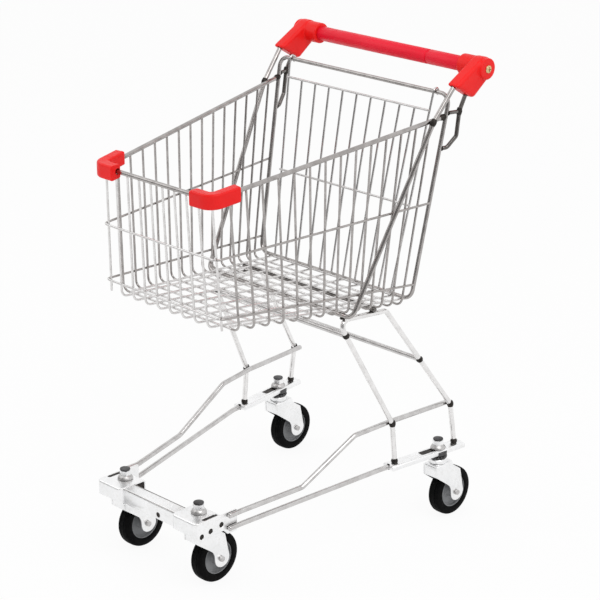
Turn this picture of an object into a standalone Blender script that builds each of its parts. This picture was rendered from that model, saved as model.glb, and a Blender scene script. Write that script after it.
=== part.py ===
"""Shopping cart: a welded wire basket on a rod chassis with four swivel casters.

Units are metres, +Z is up, the cart's front faces -Y and +X is its right-hand side seen from the front.
Every bent rod, wire panel, moulding and caster piece is its own object. The swinging rear gate, the four
caster swivels and the four wheels have parent empties on their joint axes.
"""

import math

import bmesh
import bpy
from mathutils import Vector

CART = "shopping_cart"
CLEAR = 0.0003
WELD_GAP = 0.0005

# Casters
WHEEL_D = 0.100
TYRE_W = 0.026
TYRE_T = 0.013
HUB_D = 0.022
WHEEL_STEPS = 20
AXLE_D = 0.008
AXLE_HEAD_D = 0.015
AXLE_HEAD_T = 0.005
TRAIL = 0.036
FORK_INNER = 0.032
FORK_SHEET = 0.003
FORK_TOP_Z = 0.122
FORK_FRONT = 0.021
FORK_REAR = 0.024
FORK_NECK_Z = 0.114
FORK_HIP = (0.047, 0.098)
FORK_KNEE = (0.004, 0.074)
FORK_EYE_R = 0.021
APRON_Z = 0.097
KINGPIN_D = 0.012
KINGPIN_HEAD_D = 0.019
KINGPIN_HEAD_T = 0.005
SWIVEL_HEAD_D = 0.036
DOME_D = 0.030
DOME_T = 0.009
NUT_ACROSS = 0.019
NUT_T = 0.009
DOME_LIP = 0.001
PIN_CAP_D = 0.020
PIN_CAP_T = 0.003
FRONT_CASTER_X = 0.104
FRONT_CASTER_Y = -0.299
REAR_CASTER_X = 0.225
REAR_CASTER_Y = 0.226

# Chassis
SHEET = 0.003
DECK_Z = 0.151
BEAM_FRONT = 0.031
BEAM_D = 0.030
BEAM_H = 0.030
BEAM_PAST = 0.0006
PAN_FRONT = 0.040
PAN_REAR = 0.023
PAN_IN = 0.072
PAN_OUT = 0.140
PAN_H = 0.028
PLATE_BACK = 0.062
PLATE_LOW_Z = 0.116
TAIL_LOW_Z = 0.106
TAIL_START = 0.028
TAIL_FULL = 0.038
HOLE_D = 0.007
SLOT_W = 0.0065
SLOT_L = 0.036
SLOT_IN = 0.0068
BEAM_HOLE = (0.025, 0.129)
PLATE_HOLES = ((-0.026, 0.122), (-0.004, 0.126), (0.023, 0.130))
SHOE_PLAY = 0.001
SHOE_W = SWIVEL_HEAD_D + 2 * (SHEET + SHOE_PLAY)
SHOE_FLANGE = 0.014
SHOE_FRONT = 0.128
SHOE_REAR = 0.058
SHOE_TURN = math.radians(-7.0)
ROD_D = 0.010
ROD_BEND = 0.022
LEG_BEND = 0.014
POST_INSET = 0.016
NODE_Z = 0.231
FRONT_NODE_X = 0.204
REAR_NODE_X = 0.218
LEG_INSET = 0.032
LEG_TOP_FRONT_Y = -0.003
LEG_TOP_REAR_Y = 0.127
FRONT_TIE_Z = 0.432
REAR_TIE_Z = 0.338
RAIL_START = 0.036
RAIL_PAST = 0.004
RAIL_STRAIGHT = PLATE_BACK - RAIL_START + RAIL_PAST
UPPER_RAIL_Z = 0.145
LOWER_RAIL_Z = 0.119
RAIL_KNEE_X = 0.172
RAIL_KNEE_Y = -0.099
RAIL_RISE = 0.012
RAIL_TOP_X = 0.184
RAIL_TOP_Y = 0.031
RAIL_TOP_DROP = 0.005
RAIL_END = 0.008

# Basket
WIRE_D = 0.0044
RIM_D = 0.0086
HOOP_D = 0.008
STRUT_D = 0.009
RIM_FRONT_Y = -0.2905
RIM_FRONT_Z = 0.757
RIM_REAR_Z = 0.822
RIM_FRONT_HALF = 0.1445
FLOOR_FRONT_Y = -0.2805
FLOOR_FRONT_Z = 0.510
FLOOR_REAR_Z = 0.466
FLOOR_FRONT_HALF = 0.154
FLOOR_OVERHANG = 0.009
CORNER_R = 0.013
FOLD = 0.020
FOLD_R = 0.014
FRONT_BAYS = 9
SIDE_BAYS = 15
SIDE_SHIFT = 0.215
MID_LEVEL = 0.555
LOW_LEVEL = 0.11
HOOP_TOP_Z = 0.862
HOOP_TOP_Y = 0.238
HOOP_BOTTOM_Y = 0.161
HOOP_TOP_HALF = 0.224
HOOP_BOTTOM_HALF = 0.205
HOOP_INSET = 0.001
HOOP_BEND = 0.020
STRUT_BAY = 9
STRUT_RIM_Y = 0.193
STRUT_TOP = (0.248, 0.884)
STRUT_BEND = 0.016
CROSS_ROD_BAY = 12
CROSS_ROD_PAST = 0.004

# Rear gate
GATE_GAP = 0.0006
GATE_TOP = 0.036
GATE_MID = 0.220
GATE_TOP_HALF = 0.187
GATE_BOTTOM_HALF = 0.158
GATE_BAYS = 10
HOOK_TURN = math.radians(230.0)

# Handle
BAR_D = 0.020
BAR_WALL = 0.002
GRIP_D = 0.029
GRIP_GROOVE_X = 0.103
GRIP_GROOVE_W = 0.004
GRIP_GROOVE_T = 0.002
BAR_Y = 0.317
BAR_Z = 0.901
BRACKET_X = 0.230
BRACKET_W = 0.028
BRACKET_R = 0.022
BRACKET_EDGE = 0.006
BRACKET_FOOT_FRONT = (0.234, 0.884)
BRACKET_FOOT_REAR = (0.285, 0.853)
BRACKET_END_WALL = 0.006
BOSS_D = 0.041
BOSS_PROUD = 0.005
BOSS_OUT = BRACKET_X + BRACKET_W / 2 + BOSS_PROUD
COLLAR_IN = 0.187
SCREW_D = 0.006
SCREW_HEAD_D = 0.015
SCREW_HEAD_T = 0.003
SCREW_L = 0.018
STAY_D = 0.008
STAY_TOP = (0.281, 0.867)
STAY_TIE = (0.259, 0.828)
STAY_LOW = (0.252, 0.782)
STAY_FOOT_Z = 0.762
STAY_RUN = 0.012
STAY_BEND = 0.010

# Corner bumpers
BUMPER_T = 0.0125
BUMPER_IN = 0.0015
BUMPER_BELOW = 0.0165
BUMPER_ABOVE = 0.013
BUMPER_FRONT_X = 0.105
BUMPER_SIDE_Y = -0.238

WHEEL_R = WHEEL_D / 2
WIRE_R = WIRE_D / 2
RIM_R = RIM_D / 2
HOOP_R = HOOP_D / 2
STRUT_R = STRUT_D / 2
ROD_R = ROD_D / 2
BAR_R = BAR_D / 2
SIDES = ((1, "right"), (-1, "left"))
CASTERS = (
    ("front_right", FRONT_CASTER_X, FRONT_CASTER_Y),
    ("front_left", -FRONT_CASTER_X, FRONT_CASTER_Y),
    ("rear_right", REAR_CASTER_X, REAR_CASTER_Y),
    ("rear_left", -REAR_CASTER_X, REAR_CASTER_Y),
)


# Scene helpers

def clear_scene():
    """Remove every object that the scene starts with."""
    for obj in list(bpy.data.objects):
        bpy.data.objects.remove(obj, do_unlink=True)


def new_collection(name):
    """Add a collection to the scene."""
    collection = bpy.data.collections.new(name)
    bpy.context.scene.collection.children.link(collection)
    return collection


clear_scene()
PARTS = new_collection(CART)
CUTTERS = new_collection("cutters")


def material(name, colour, roughness, metallic):
    """Make a Principled BSDF material."""
    made = bpy.data.materials.new(name)
    made.use_nodes = True
    shader = made.node_tree.nodes["Principled BSDF"]
    shader.inputs["Base Color"].default_value = (*colour, 1.0)
    shader.inputs["Roughness"].default_value = roughness
    shader.inputs["Metallic"].default_value = metallic
    return made


CHROME = material("chrome_wire", (0.78, 0.78, 0.79), 0.18, 1.0)
ZINC = material("zinc_steel", (0.72, 0.73, 0.75), 0.32, 1.0)
DARK_STEEL = material("dark_steel", (0.10, 0.10, 0.11), 0.45, 1.0)
BRASS_SCREW = material("yellow_zinc", (0.66, 0.52, 0.30), 0.30, 1.0)
RED = material("red_plastic", (0.80, 0.018, 0.018), 0.35, 0.0)
RUBBER = material("black_rubber", (0.012, 0.012, 0.013), 0.70, 0.0)
HUB_GREY = material("grey_plastic", (0.20, 0.205, 0.215), 0.45, 0.0)


def finish(obj, paint):
    """Give an object its material and put it in the parts collection."""
    obj.data.materials.clear()
    obj.data.materials.append(paint)
    for collection in list(obj.users_collection):
        collection.objects.unlink(obj)
    PARTS.objects.link(obj)
    return obj


def baked(obj):
    """Turn an object into a plain closed mesh with its modifiers applied."""
    bpy.context.view_layer.update()
    graph = bpy.context.evaluated_depsgraph_get()
    mesh = bpy.data.meshes.new_from_object(obj.evaluated_get(graph))
    shape = bmesh.new()
    shape.from_mesh(mesh)
    bmesh.ops.remove_doubles(shape, verts=shape.verts, dist=0.00001)
    bmesh.ops.recalc_face_normals(shape, faces=shape.faces)
    shape.to_mesh(mesh)
    shape.free()
    name, matrix, old = obj.name, obj.matrix_world.copy(), obj.data
    bpy.data.objects.remove(obj, do_unlink=True)
    if isinstance(old, bpy.types.Curve):
        bpy.data.curves.remove(old)
    made = bpy.data.objects.new(name, mesh)
    made.matrix_world = matrix
    bpy.context.scene.collection.objects.link(made)
    return made


def combined(obj, tool, operation):
    """Join a closed mesh to another, or cut it, and bake the result."""
    for collection in list(tool.users_collection):
        collection.objects.unlink(tool)
    CUTTERS.objects.link(tool)
    tool.hide_render = True
    tool.display_type = "WIRE"
    step = obj.modifiers.new(operation.lower(), "BOOLEAN")
    step.operation = operation
    step.solver = "EXACT"
    step.object = tool
    return baked(obj)


def joined(obj, *tools):
    """Unite a closed mesh with others that overlap it."""
    for tool in tools:
        obj = combined(obj, tool, "UNION")
    return obj


def cut(obj, *tools):
    """Take other closed meshes out of a closed mesh."""
    for tool in tools:
        obj = combined(obj, tool, "DIFFERENCE")
    return obj


def axis_empty(name, place, parent=None):
    """Add an empty on a joint's axis."""
    empty = bpy.data.objects.new(name, None)
    empty.empty_display_size = 0.03
    PARTS.objects.link(empty)
    empty.location = place
    if parent:
        empty.parent = parent
        empty.location = Vector(place) - parent.matrix_world.translation
    bpy.context.view_layer.update()
    return empty


def carried(obj, empty):
    """Parent a piece that was built round its own origin to an axis empty."""
    obj.parent = empty
    return obj


# Shape helpers

def fillet(points, radius, steps=4, closed=False):
    """Round the corners of a polyline with arcs."""
    points = [Vector(point) for point in points]
    count = len(points)
    path = []
    for index, corner in enumerate(points):
        if not closed and index in (0, count - 1):
            path.append(corner)
            continue
        before = (points[index - 1] - corner).normalized()
        after = (points[(index + 1) % count] - corner).normalized()
        half = before.angle(after) / 2
        reach = radius / math.tan(half)
        bisector = (before + after).normalized()
        centre = corner + bisector * (radius / math.sin(half))
        start = corner + before * reach - centre
        end = corner + after * reach - centre
        sweep = math.pi - 2 * half
        for step in range(steps + 1):
            share = step / steps
            ray = start * math.sin((1 - share) * sweep) + end * math.sin(share * sweep)
            path.append(centre + ray / math.sin(sweep))
    return path


def wires(name, paths, diameter, resolution, closed=False):
    """Sweep round wire along polylines, as one curve object with filled caps."""
    curve = bpy.data.curves.new(name, "CURVE")
    curve.dimensions = "3D"
    curve.bevel_depth = diameter / 2
    curve.bevel_resolution = resolution
    curve.use_fill_caps = True
    for path in paths:
        spline = curve.splines.new("POLY")
        spline.points.add(len(path) - 1)
        for point, place in zip(spline.points, path):
            point.co = (*place, 1.0)
        spline.use_cyclic_u = closed
    obj = bpy.data.objects.new(name, curve)
    bpy.context.scene.collection.objects.link(obj)
    return baked(obj)


def rod(name, points, diameter, bend, closed=False):
    """Make one bent round rod."""
    return wires(name, [fillet(points, bend, 3, closed)], diameter, 2, closed)


def turned(name, profile, axis, steps=24):
    """Turn a closed profile of (along axis, radius) points with a Screw modifier."""
    mesh = bpy.data.meshes.new(name)
    shape = bmesh.new()
    across = {"X": lambda a, r: (a, r, 0), "Z": lambda a, r: (r, 0, a)}[axis]
    verts = [shape.verts.new(across(along, radius)) for along, radius in profile]
    for index, vert in enumerate(verts):
        shape.edges.new((verts[index - 1], vert))
    shape.to_mesh(mesh)
    shape.free()
    obj = bpy.data.objects.new(name, mesh)
    bpy.context.scene.collection.objects.link(obj)
    screw = obj.modifiers.new("turn", "SCREW")
    screw.axis = axis
    screw.angle = math.tau
    screw.steps = steps
    screw.render_steps = steps
    screw.use_merge_vertices = True
    screw.merge_threshold = 0.00001
    return baked(obj)


def cylinder(name, radius, start, end, sides=24):
    """Add a closed cylinder between two points."""
    start, end = Vector(start), Vector(end)
    bpy.ops.mesh.primitive_cylinder_add(vertices=sides, radius=radius, depth=(end - start).length)
    obj = bpy.context.object
    obj.name = name
    obj.rotation_euler = (end - start).to_track_quat("Z", "Y").to_euler()
    obj.location = (start + end) / 2
    return obj


def block(name, low, high):
    """Add a box between two corners."""
    low, high = Vector(low), Vector(high)
    bpy.ops.mesh.primitive_cube_add(size=1.0)
    obj = bpy.context.object
    obj.name = name
    obj.scale = high - low
    obj.location = (low + high) / 2
    return obj


def extruded(name, outline, thickness, rotation, place):
    """Extrude a flat closed outline evenly about its own plane, then turn and place it."""
    curve = bpy.data.curves.new(name, "CURVE")
    curve.dimensions = "2D"
    curve.fill_mode = "BOTH"
    curve.extrude = thickness / 2
    spline = curve.splines.new("POLY")
    spline.points.add(len(outline) - 1)
    for point, (across, up) in zip(spline.points, outline):
        point.co = (across, up, 0, 1)
    spline.use_cyclic_u = True
    obj = bpy.data.objects.new(name, curve)
    bpy.context.scene.collection.objects.link(obj)
    obj.rotation_euler = rotation
    obj.location = place
    return baked(obj)


def channel_outline(width, flange, sheet):
    """Outline of an upside-down U of folded sheet, its top face at zero height."""
    half = width / 2
    return (
        (-half, 0), (half, 0), (half, -flange), (half - sheet, -flange),
        (half - sheet, -sheet), (sheet - half, -sheet), (sheet - half, -flange), (-half, -flange),
    )


def lerp(low, high, share):
    """Blend two numbers."""
    return low + (high - low) * share


# Basket surfaces

HOOP_BOTTOM_LIFT = 1.5 * WIRE_D / 2 + CLEAR + HOOP_R


def floor_z(y):
    """Height of the floor's reference plane at a station."""
    return lerp(FLOOR_FRONT_Z, FLOOR_REAR_Z, (y - FLOOR_FRONT_Y) / (HOOP_BOTTOM_Y - FLOOR_FRONT_Y))


HOOP_BOTTOM_Z = floor_z(HOOP_BOTTOM_Y) + HOOP_BOTTOM_LIFT
HOOP_LEAN = (HOOP_TOP_Y - HOOP_BOTTOM_Y) / (HOOP_TOP_Z - HOOP_BOTTOM_Z)


def hoop_y(z):
    """Station of the rear hoop's plane at a height."""
    return HOOP_BOTTOM_Y + (z - HOOP_BOTTOM_Z) * HOOP_LEAN


def hoop_half(z):
    """Half width of the rear hoop at a height."""
    return lerp(HOOP_BOTTOM_HALF, HOOP_TOP_HALF, (z - HOOP_BOTTOM_Z) / (HOOP_TOP_Z - HOOP_BOTTOM_Z))


RIM_REAR_Y = hoop_y(RIM_REAR_Z)
RIM_REAR_HALF = hoop_half(RIM_REAR_Z) - HOOP_INSET
FLOOR_REAR_HALF = HOOP_BOTTOM_HALF - HOOP_INSET
LEG_TOP_X = FLOOR_REAR_HALF - LEG_INSET
RIM_SLOPE = (RIM_REAR_Z - RIM_FRONT_Z) / (RIM_REAR_Y - RIM_FRONT_Y)


def rim_z(y):
    """Height of the rim rod at a station."""
    return RIM_FRONT_Z + RIM_SLOPE * (y - RIM_FRONT_Y)


def rim_half(y):
    """Half width of the rim at a station."""
    return lerp(RIM_FRONT_HALF, RIM_REAR_HALF, (y - RIM_FRONT_Y) / (RIM_REAR_Y - RIM_FRONT_Y))


def floor_half(y):
    """Half width of the floor at a station."""
    return lerp(FLOOR_FRONT_HALF, FLOOR_REAR_HALF, (y - FLOOR_FRONT_Y) / (HOOP_BOTTOM_Y - FLOOR_FRONT_Y))


def level_ring(level, inset, rear_gap):
    """Follow the basket wall from its rear right end round the front to its rear left end.

    The level runs from 0 at the floor to 1 at the rim. The corners are arcs of four steps, so their
    middles are the fourth and the ninth of the twelve points.
    """
    front_y = lerp(FLOOR_FRONT_Y, RIM_FRONT_Y, level) + inset
    rear_z = lerp(FLOOR_REAR_Z, RIM_REAR_Z, level)
    rear_y = hoop_y(rear_z) - rear_gap

    def wall(y):
        half = lerp(floor_half(y), rim_half(y), level) - inset
        return half, lerp(floor_z(y), rim_z(y), level)

    half_rear, z_rear = wall(rear_y)
    half_front, z_front = wall(front_y)
    corners = [
        (half_rear, rear_y, z_rear), (half_front, front_y, z_front),
        (-half_front, front_y, z_front), (-half_rear, rear_y, z_rear),
    ]
    return fillet(corners, CORNER_R)


RIM_PATH = level_ring(1.0, 0.0, HOOP_R + CLEAR + RIM_R * (HOOP_LEAN + RIM_SLOPE))
CORNER_TOP = RIM_PATH[3]
CORNER_LOW = level_ring(0.0, 0.0, HOOP_R)[3]
WIRE_TOP = RIM_R + WELD_GAP


def side_station(bay):
    """Top and bottom stations of a side wire, which lean more towards the rear."""
    share = bay / SIDE_BAYS
    low_share = share + SIDE_SHIFT * share * (1 - share)
    top = lerp(CORNER_TOP.y, RIM_REAR_Y, share)
    low = lerp(CORNER_LOW.y, HOOP_BOTTOM_Y, low_share)
    return top, low


def front_places():
    """Cross positions of the front wires between the two corner wires, as shares of the corner's."""
    return [2 * bay / FRONT_BAYS - 1 for bay in range(1, FRONT_BAYS)]


def woven(name, uprights, level_wires):
    """Weld two layers of crossing wire into one panel."""
    panel = wires(name, uprights, WIRE_D, 0)
    return finish(joined(panel, wires(name + "_levels", level_wires, WIRE_D, 0)), CHROME)


# Basket pieces

def basket_front():
    """Front panel: upright wires that fold in under the floor, and two level wires."""
    uprights = []
    for sign in (1, -1):
        foot = Vector((sign * CORNER_LOW.x, CORNER_LOW.y, CORNER_LOW.z))
        head = Vector((sign * CORNER_TOP.x, CORNER_TOP.y, CORNER_TOP.z - WIRE_TOP))
        uprights.append([head, foot])
    for share in front_places():
        x_top, x_low = share * CORNER_TOP.x, share * CORNER_LOW.x
        fold_y = FLOOR_FRONT_Y + FOLD
        bent = [
            (x_top, RIM_FRONT_Y, RIM_FRONT_Z - WIRE_TOP),
            (x_low, FLOOR_FRONT_Y, floor_z(FLOOR_FRONT_Y)),
            (x_low, fold_y, floor_z(fold_y)),
        ]
        uprights.append(fillet(bent, FOLD_R, 3))
    levels = [level_ring(level, -WIRE_R, HOOP_R)[3:9] for level in (LOW_LEVEL, MID_LEVEL)]
    return woven("basket_front", uprights, levels)


def basket_side(sign, side):
    """Side panel: leaning wires that fold in under the floor, and two level wires."""
    uprights = []
    for bay in range(1, SIDE_BAYS):
        top, low = side_station(bay)
        lean_gap = WIRE_R * (RIM_SLOPE + abs(top - low) / (rim_z(top) - floor_z(low)))
        bent = [
            (sign * rim_half(top), top, rim_z(top) - WIRE_TOP - lean_gap),
            (sign * floor_half(low), low, floor_z(low)),
            (sign * (floor_half(low) - FOLD), low, floor_z(low)),
        ]
        uprights.append(fillet(bent, FOLD_R, 3))
    rear_gap = HOOP_R + 2 * WELD_GAP + WIRE_R * (HOOP_LEAN + RIM_SLOPE)
    levels = []
    for level in (LOW_LEVEL, MID_LEVEL):
        ring = level_ring(level, -WIRE_R, rear_gap)[:3]
        levels.append([Vector((sign * point.x, point.y, point.z)) for point in ring])
    return woven(f"basket_side_{side}", uprights, levels)


def basket_floor():
    """Floor grid: cross wires that carry on from the side wires, and long wires above them."""
    cross = []
    for bay in range(1, SIDE_BAYS):
        low = side_station(bay)[1]
        half = floor_half(low) - FOLD - CLEAR
        z = floor_z(low) - WIRE_R / 2
        cross.append([(half, low, z), (-half, low, z)])
    long_wires = []
    front_y = FLOOR_FRONT_Y + FOLD + CLEAR
    rear_y = HOOP_BOTTOM_Y + FLOOR_OVERHANG
    edge = CORNER_LOW.x / floor_half(FLOOR_FRONT_Y)
    for share in front_places():
        ends = []
        for y in (front_y, rear_y):
            spread = floor_half(y) / floor_half(front_y)
            ends.append((share * edge * floor_half(front_y) * spread, y, floor_z(y) + WIRE_R / 2))
        long_wires.append(ends)
    for sign in (1, -1):
        first, last = side_station(1)[1], rear_y
        ends = []
        for y in (first, last):
            ends.append((sign * (floor_half(y) - FOLD - WIRE_D), y, floor_z(y) + WIRE_R / 2))
        long_wires.append(ends)
    return woven("basket_floor", cross, long_wires)


def basket_rim():
    """Thick rim rod round the sides and the front."""
    return finish(wires("basket_rim", [RIM_PATH], RIM_D, 2), CHROME)


def rear_hoop():
    """Closed rear hoop: side bars, the gate's hinge bar at the top and a bar across the floor."""
    corners = []
    for half, z in ((HOOP_BOTTOM_HALF, HOOP_BOTTOM_Z), (HOOP_TOP_HALF, HOOP_TOP_Z)):
        corners.append((half, hoop_y(z), z))
    for half, z in ((HOOP_TOP_HALF, HOOP_TOP_Z), (HOOP_BOTTOM_HALF, HOOP_BOTTOM_Z)):
        corners.append((-half, hoop_y(z), z))
    return finish(rod("rear_hoop", corners, HOOP_D, HOOP_BEND, closed=True), CHROME)


UNDER_FLOOR = 1.5 * WIRE_R + CLEAR
STRUT_FOOT_Y = side_station(STRUT_BAY)[1]
CROSS_ROD_Y = side_station(CROSS_ROD_BAY)[1]
STRUT_FOOT = Vector((
    floor_half(STRUT_FOOT_Y) + WIRE_D + 2 * CLEAR + STRUT_R,
    STRUT_FOOT_Y,
    floor_z(STRUT_FOOT_Y) - UNDER_FLOOR - STRUT_R,
))
STRUT_AT_RIM = Vector((rim_half(STRUT_RIM_Y) + RIM_R + STRUT_R + CLEAR, STRUT_RIM_Y, rim_z(STRUT_RIM_Y)))
STRUT_HEAD = Vector((BRACKET_X, *STRUT_TOP))


def mirrored(point):
    """Reflect a point to the cart's other side."""
    return Vector((-point.x, point.y, point.z))


def handle_strut():
    """Sloping bars up to the handle on both sides and the bar that joins them under the floor."""
    right = [STRUT_HEAD, STRUT_AT_RIM, STRUT_FOOT]
    corners = right + [mirrored(point) for point in reversed(right)]
    return finish(rod("handle_strut", corners, STRUT_D, STRUT_BEND), CHROME)


def floor_cross_rod():
    """Second cross rod between the floor wires and the chassis."""
    half = LEG_TOP_X + ROD_R + CROSS_ROD_PAST
    z = floor_z(CROSS_ROD_Y) - UNDER_FLOOR - STRUT_R
    ends = [(half, CROSS_ROD_Y, z), (-half, CROSS_ROD_Y, z)]
    return finish(wires("floor_cross_rod", [ends], STRUT_D, 2), CHROME)


# Rear gate

LEAN_LENGTH = math.hypot(1.0, HOOP_LEAN)
GATE_DOWN = Vector((0, -HOOP_LEAN, -1)) / LEAN_LENGTH
GATE_AHEAD = Vector((0, -1, HOOP_LEAN)) / LEAN_LENGTH
GATE_OFFSET = HOOP_R + WIRE_R + GATE_GAP
GATE_BOTTOM = (HOOP_TOP_Z - HOOP_BOTTOM_Z) * LEAN_LENGTH


def gate_half(drop):
    """Half width of the gate at a distance down from its hinge."""
    return lerp(GATE_TOP_HALF, GATE_BOTTOM_HALF, (drop - GATE_TOP) / (GATE_BOTTOM - GATE_TOP))


def gate_point(share, drop, ahead):
    """Point on the gate, from its hinge axis."""
    return Vector((share * gate_half(drop), 0, 0)) + GATE_DOWN * drop + GATE_AHEAD * ahead


def gate():
    """Rear gate of wires, hooked over the hoop's top bar and resting on its bottom bar."""
    hinge = axis_empty("gate_axis", (0, HOOP_TOP_Y, HOOP_TOP_Z))
    uprights = []
    for bay in range(1, GATE_BAYS):
        share = 2 * bay / GATE_BAYS - 1
        uprights.append([gate_point(share, drop, GATE_OFFSET) for drop in (GATE_TOP, GATE_BOTTOM)])
    hook_steps = 9
    for sign in (1, -1):
        path = [gate_point(sign, GATE_BOTTOM, GATE_OFFSET)]
        for step in range(hook_steps + 1):
            turn = HOOK_TURN * step / hook_steps
            eye = Vector((sign * gate_half(0), 0, 0))
            path.append(eye + (GATE_AHEAD * math.cos(turn) - GATE_DOWN * math.sin(turn)) * GATE_OFFSET)
        uprights.append(path)
    levels = []
    for drop in (GATE_TOP, GATE_MID, GATE_BOTTOM):
        levels.append([gate_point(sign, drop, GATE_OFFSET + WIRE_R) for sign in (1, -1)])
    for level in levels:
        for end, sign in zip(level, (1, -1)):
            end.x += sign * WIRE_R
    return carried(woven("gate", uprights, levels), hinge)


# Handle

def bracket_outline():
    """Side view of a handle bracket: a foot edge below and a round end about the bar."""
    foot_front, foot_rear = Vector(BRACKET_FOOT_FRONT), Vector(BRACKET_FOOT_REAR)
    centre = Vector((BAR_Y, BAR_Z))

    def tangent(foot, sign):
        line = foot - centre
        return math.atan2(line.y, line.x) + sign * math.acos(BRACKET_R / line.length)

    start = tangent(foot_front, -1)
    end = tangent(foot_rear, 1) - math.tau
    steps = 8
    outline = [tuple(foot_rear), tuple(foot_front)]
    for step in range(steps + 1):
        angle = lerp(start, end, step / steps)
        outline.append((centre.x + BRACKET_R * math.cos(angle), centre.y + BRACKET_R * math.sin(angle)))
    return outline


def handle_bracket(sign, side):
    """Plastic bracket: an arm for the strut and the stay, and a boss and collar round the bar's end."""
    upright = (math.pi / 2, 0, math.pi / 2)
    name = f"handle_bracket_{side}"
    body = extruded(name, bracket_outline(), BRACKET_W, upright, (sign * BRACKET_X, 0, 0))
    edge = body.modifiers.new("round", "BEVEL")
    edge.width = BRACKET_EDGE
    edge.segments = 1
    body = baked(body)

    def on_bar(x):
        return (sign * x, BAR_Y, BAR_Z)

    body = joined(body, cylinder("boss", BOSS_D / 2, on_bar(COLLAR_IN), on_bar(BOSS_OUT)))
    holes = [
        cylinder("bar_bore", BAR_R + CLEAR, on_bar(COLLAR_IN - BAR_D), on_bar(BOSS_OUT - BRACKET_END_WALL)),
        cylinder("screw_hole", SCREW_D / 2 + CLEAR, on_bar(BRACKET_X), on_bar(BOSS_OUT + BAR_D), 12),
    ]
    stay_head, stay_tie = Vector((BRACKET_X, *STAY_TOP)), Vector((BRACKET_X, *STAY_TIE))
    for head, below, size in ((STRUT_HEAD, STRUT_AT_RIM, STRUT_D), (stay_head, stay_tie, STAY_D)):
        along = (head - below).normalized()
        ends = [head - along * BRACKET_R * 2, head + along * CLEAR]
        ends = [Vector((sign * point.x, point.y, point.z)) for point in ends]
        holes.append(cylinder("rod_hole", size / 2 + CLEAR, *ends, 12))
    return finish(cut(body, *holes), RED)


def handle_stay(sign, side):
    """Rod from the bracket's foot down to the rear hoop, with a short tie to the hoop at the rim."""
    x = BRACKET_X
    foot_axis = Vector((hoop_half(STAY_FOOT_Z), hoop_y(STAY_FOOT_Z), STAY_FOOT_Z))
    low = Vector((x, *STAY_LOW))
    out = Vector((low.x - foot_axis.x, low.y - foot_axis.y, 0)).normalized()
    foot = foot_axis + out * (HOOP_R + WELD_GAP + STAY_D / 2 * HOOP_LEAN)
    points = [Vector((x, *STAY_TOP)), Vector((x, *STAY_TIE)), low, foot + out * STAY_RUN, foot]
    tie_axis = Vector((hoop_half(STAY_TIE[1]), hoop_y(STAY_TIE[1]), STAY_TIE[1]))
    tie_out = (Vector((x, *STAY_TIE)) - tie_axis).normalized()
    tie = [Vector((x, *STAY_TIE)), tie_axis + tie_out * (HOOP_R + WELD_GAP + STAY_D / 2 * HOOP_LEAN)]

    def turn(points_in):
        return [Vector((sign * point.x, point.y, point.z)) for point in points_in]

    stay = rod(f"handle_stay_{side}", turn(points), STAY_D, STAY_BEND)
    return finish(joined(stay, wires("tie", [turn(tie)], STAY_D * 0.9, 2)), CHROME)


def handle_bar():
    """Steel tube between the brackets."""
    half = BOSS_OUT - BRACKET_END_WALL - CLEAR
    inner = BAR_R - BAR_WALL
    tube = turned("handle_bar", [(-half, inner), (half, inner), (half, BAR_R), (-half, BAR_R)], "X", 20)
    tube.location = (0, BAR_Y, BAR_Z)
    return finish(tube, ZINC)


def handle_grip():
    """Red sleeve over the tube, with a groove near its right-hand end."""
    half = COLLAR_IN - CLEAR
    inner, outer = BAR_R + CLEAR, GRIP_D / 2
    left, right = GRIP_GROOVE_X - GRIP_GROOVE_W / 2, GRIP_GROOVE_X + GRIP_GROOVE_W / 2
    groove = outer - GRIP_GROOVE_T
    profile = [
        (-half, inner), (half, inner), (half, outer), (right, outer),
        (right, groove), (left, groove), (left, outer), (-half, outer),
    ]
    grip = turned("handle_grip", profile, "X", 20)
    grip.location = (0, BAR_Y, BAR_Z)
    return finish(grip, RED)


def bracket_screw(sign, side):
    """Screw through the bracket's end wall into the bar's end."""
    head = SCREW_HEAD_D / 2
    shank = SCREW_D / 2
    face = BOSS_OUT + CLEAR
    profile = [
        (face - SCREW_L, 0), (face - SCREW_L, shank), (face, shank), (face, head),
        (face + SCREW_HEAD_T * 0.6, head), (face + SCREW_HEAD_T, head * 0.5), (face + SCREW_HEAD_T, 0),
    ]
    screw = turned(f"bracket_screw_{side}", [(sign * along, radius) for along, radius in profile], "X", 16)
    screw.location = (0, BAR_Y, BAR_Z)
    return finish(screw, BRASS_SCREW)


# Corner bumpers

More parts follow.
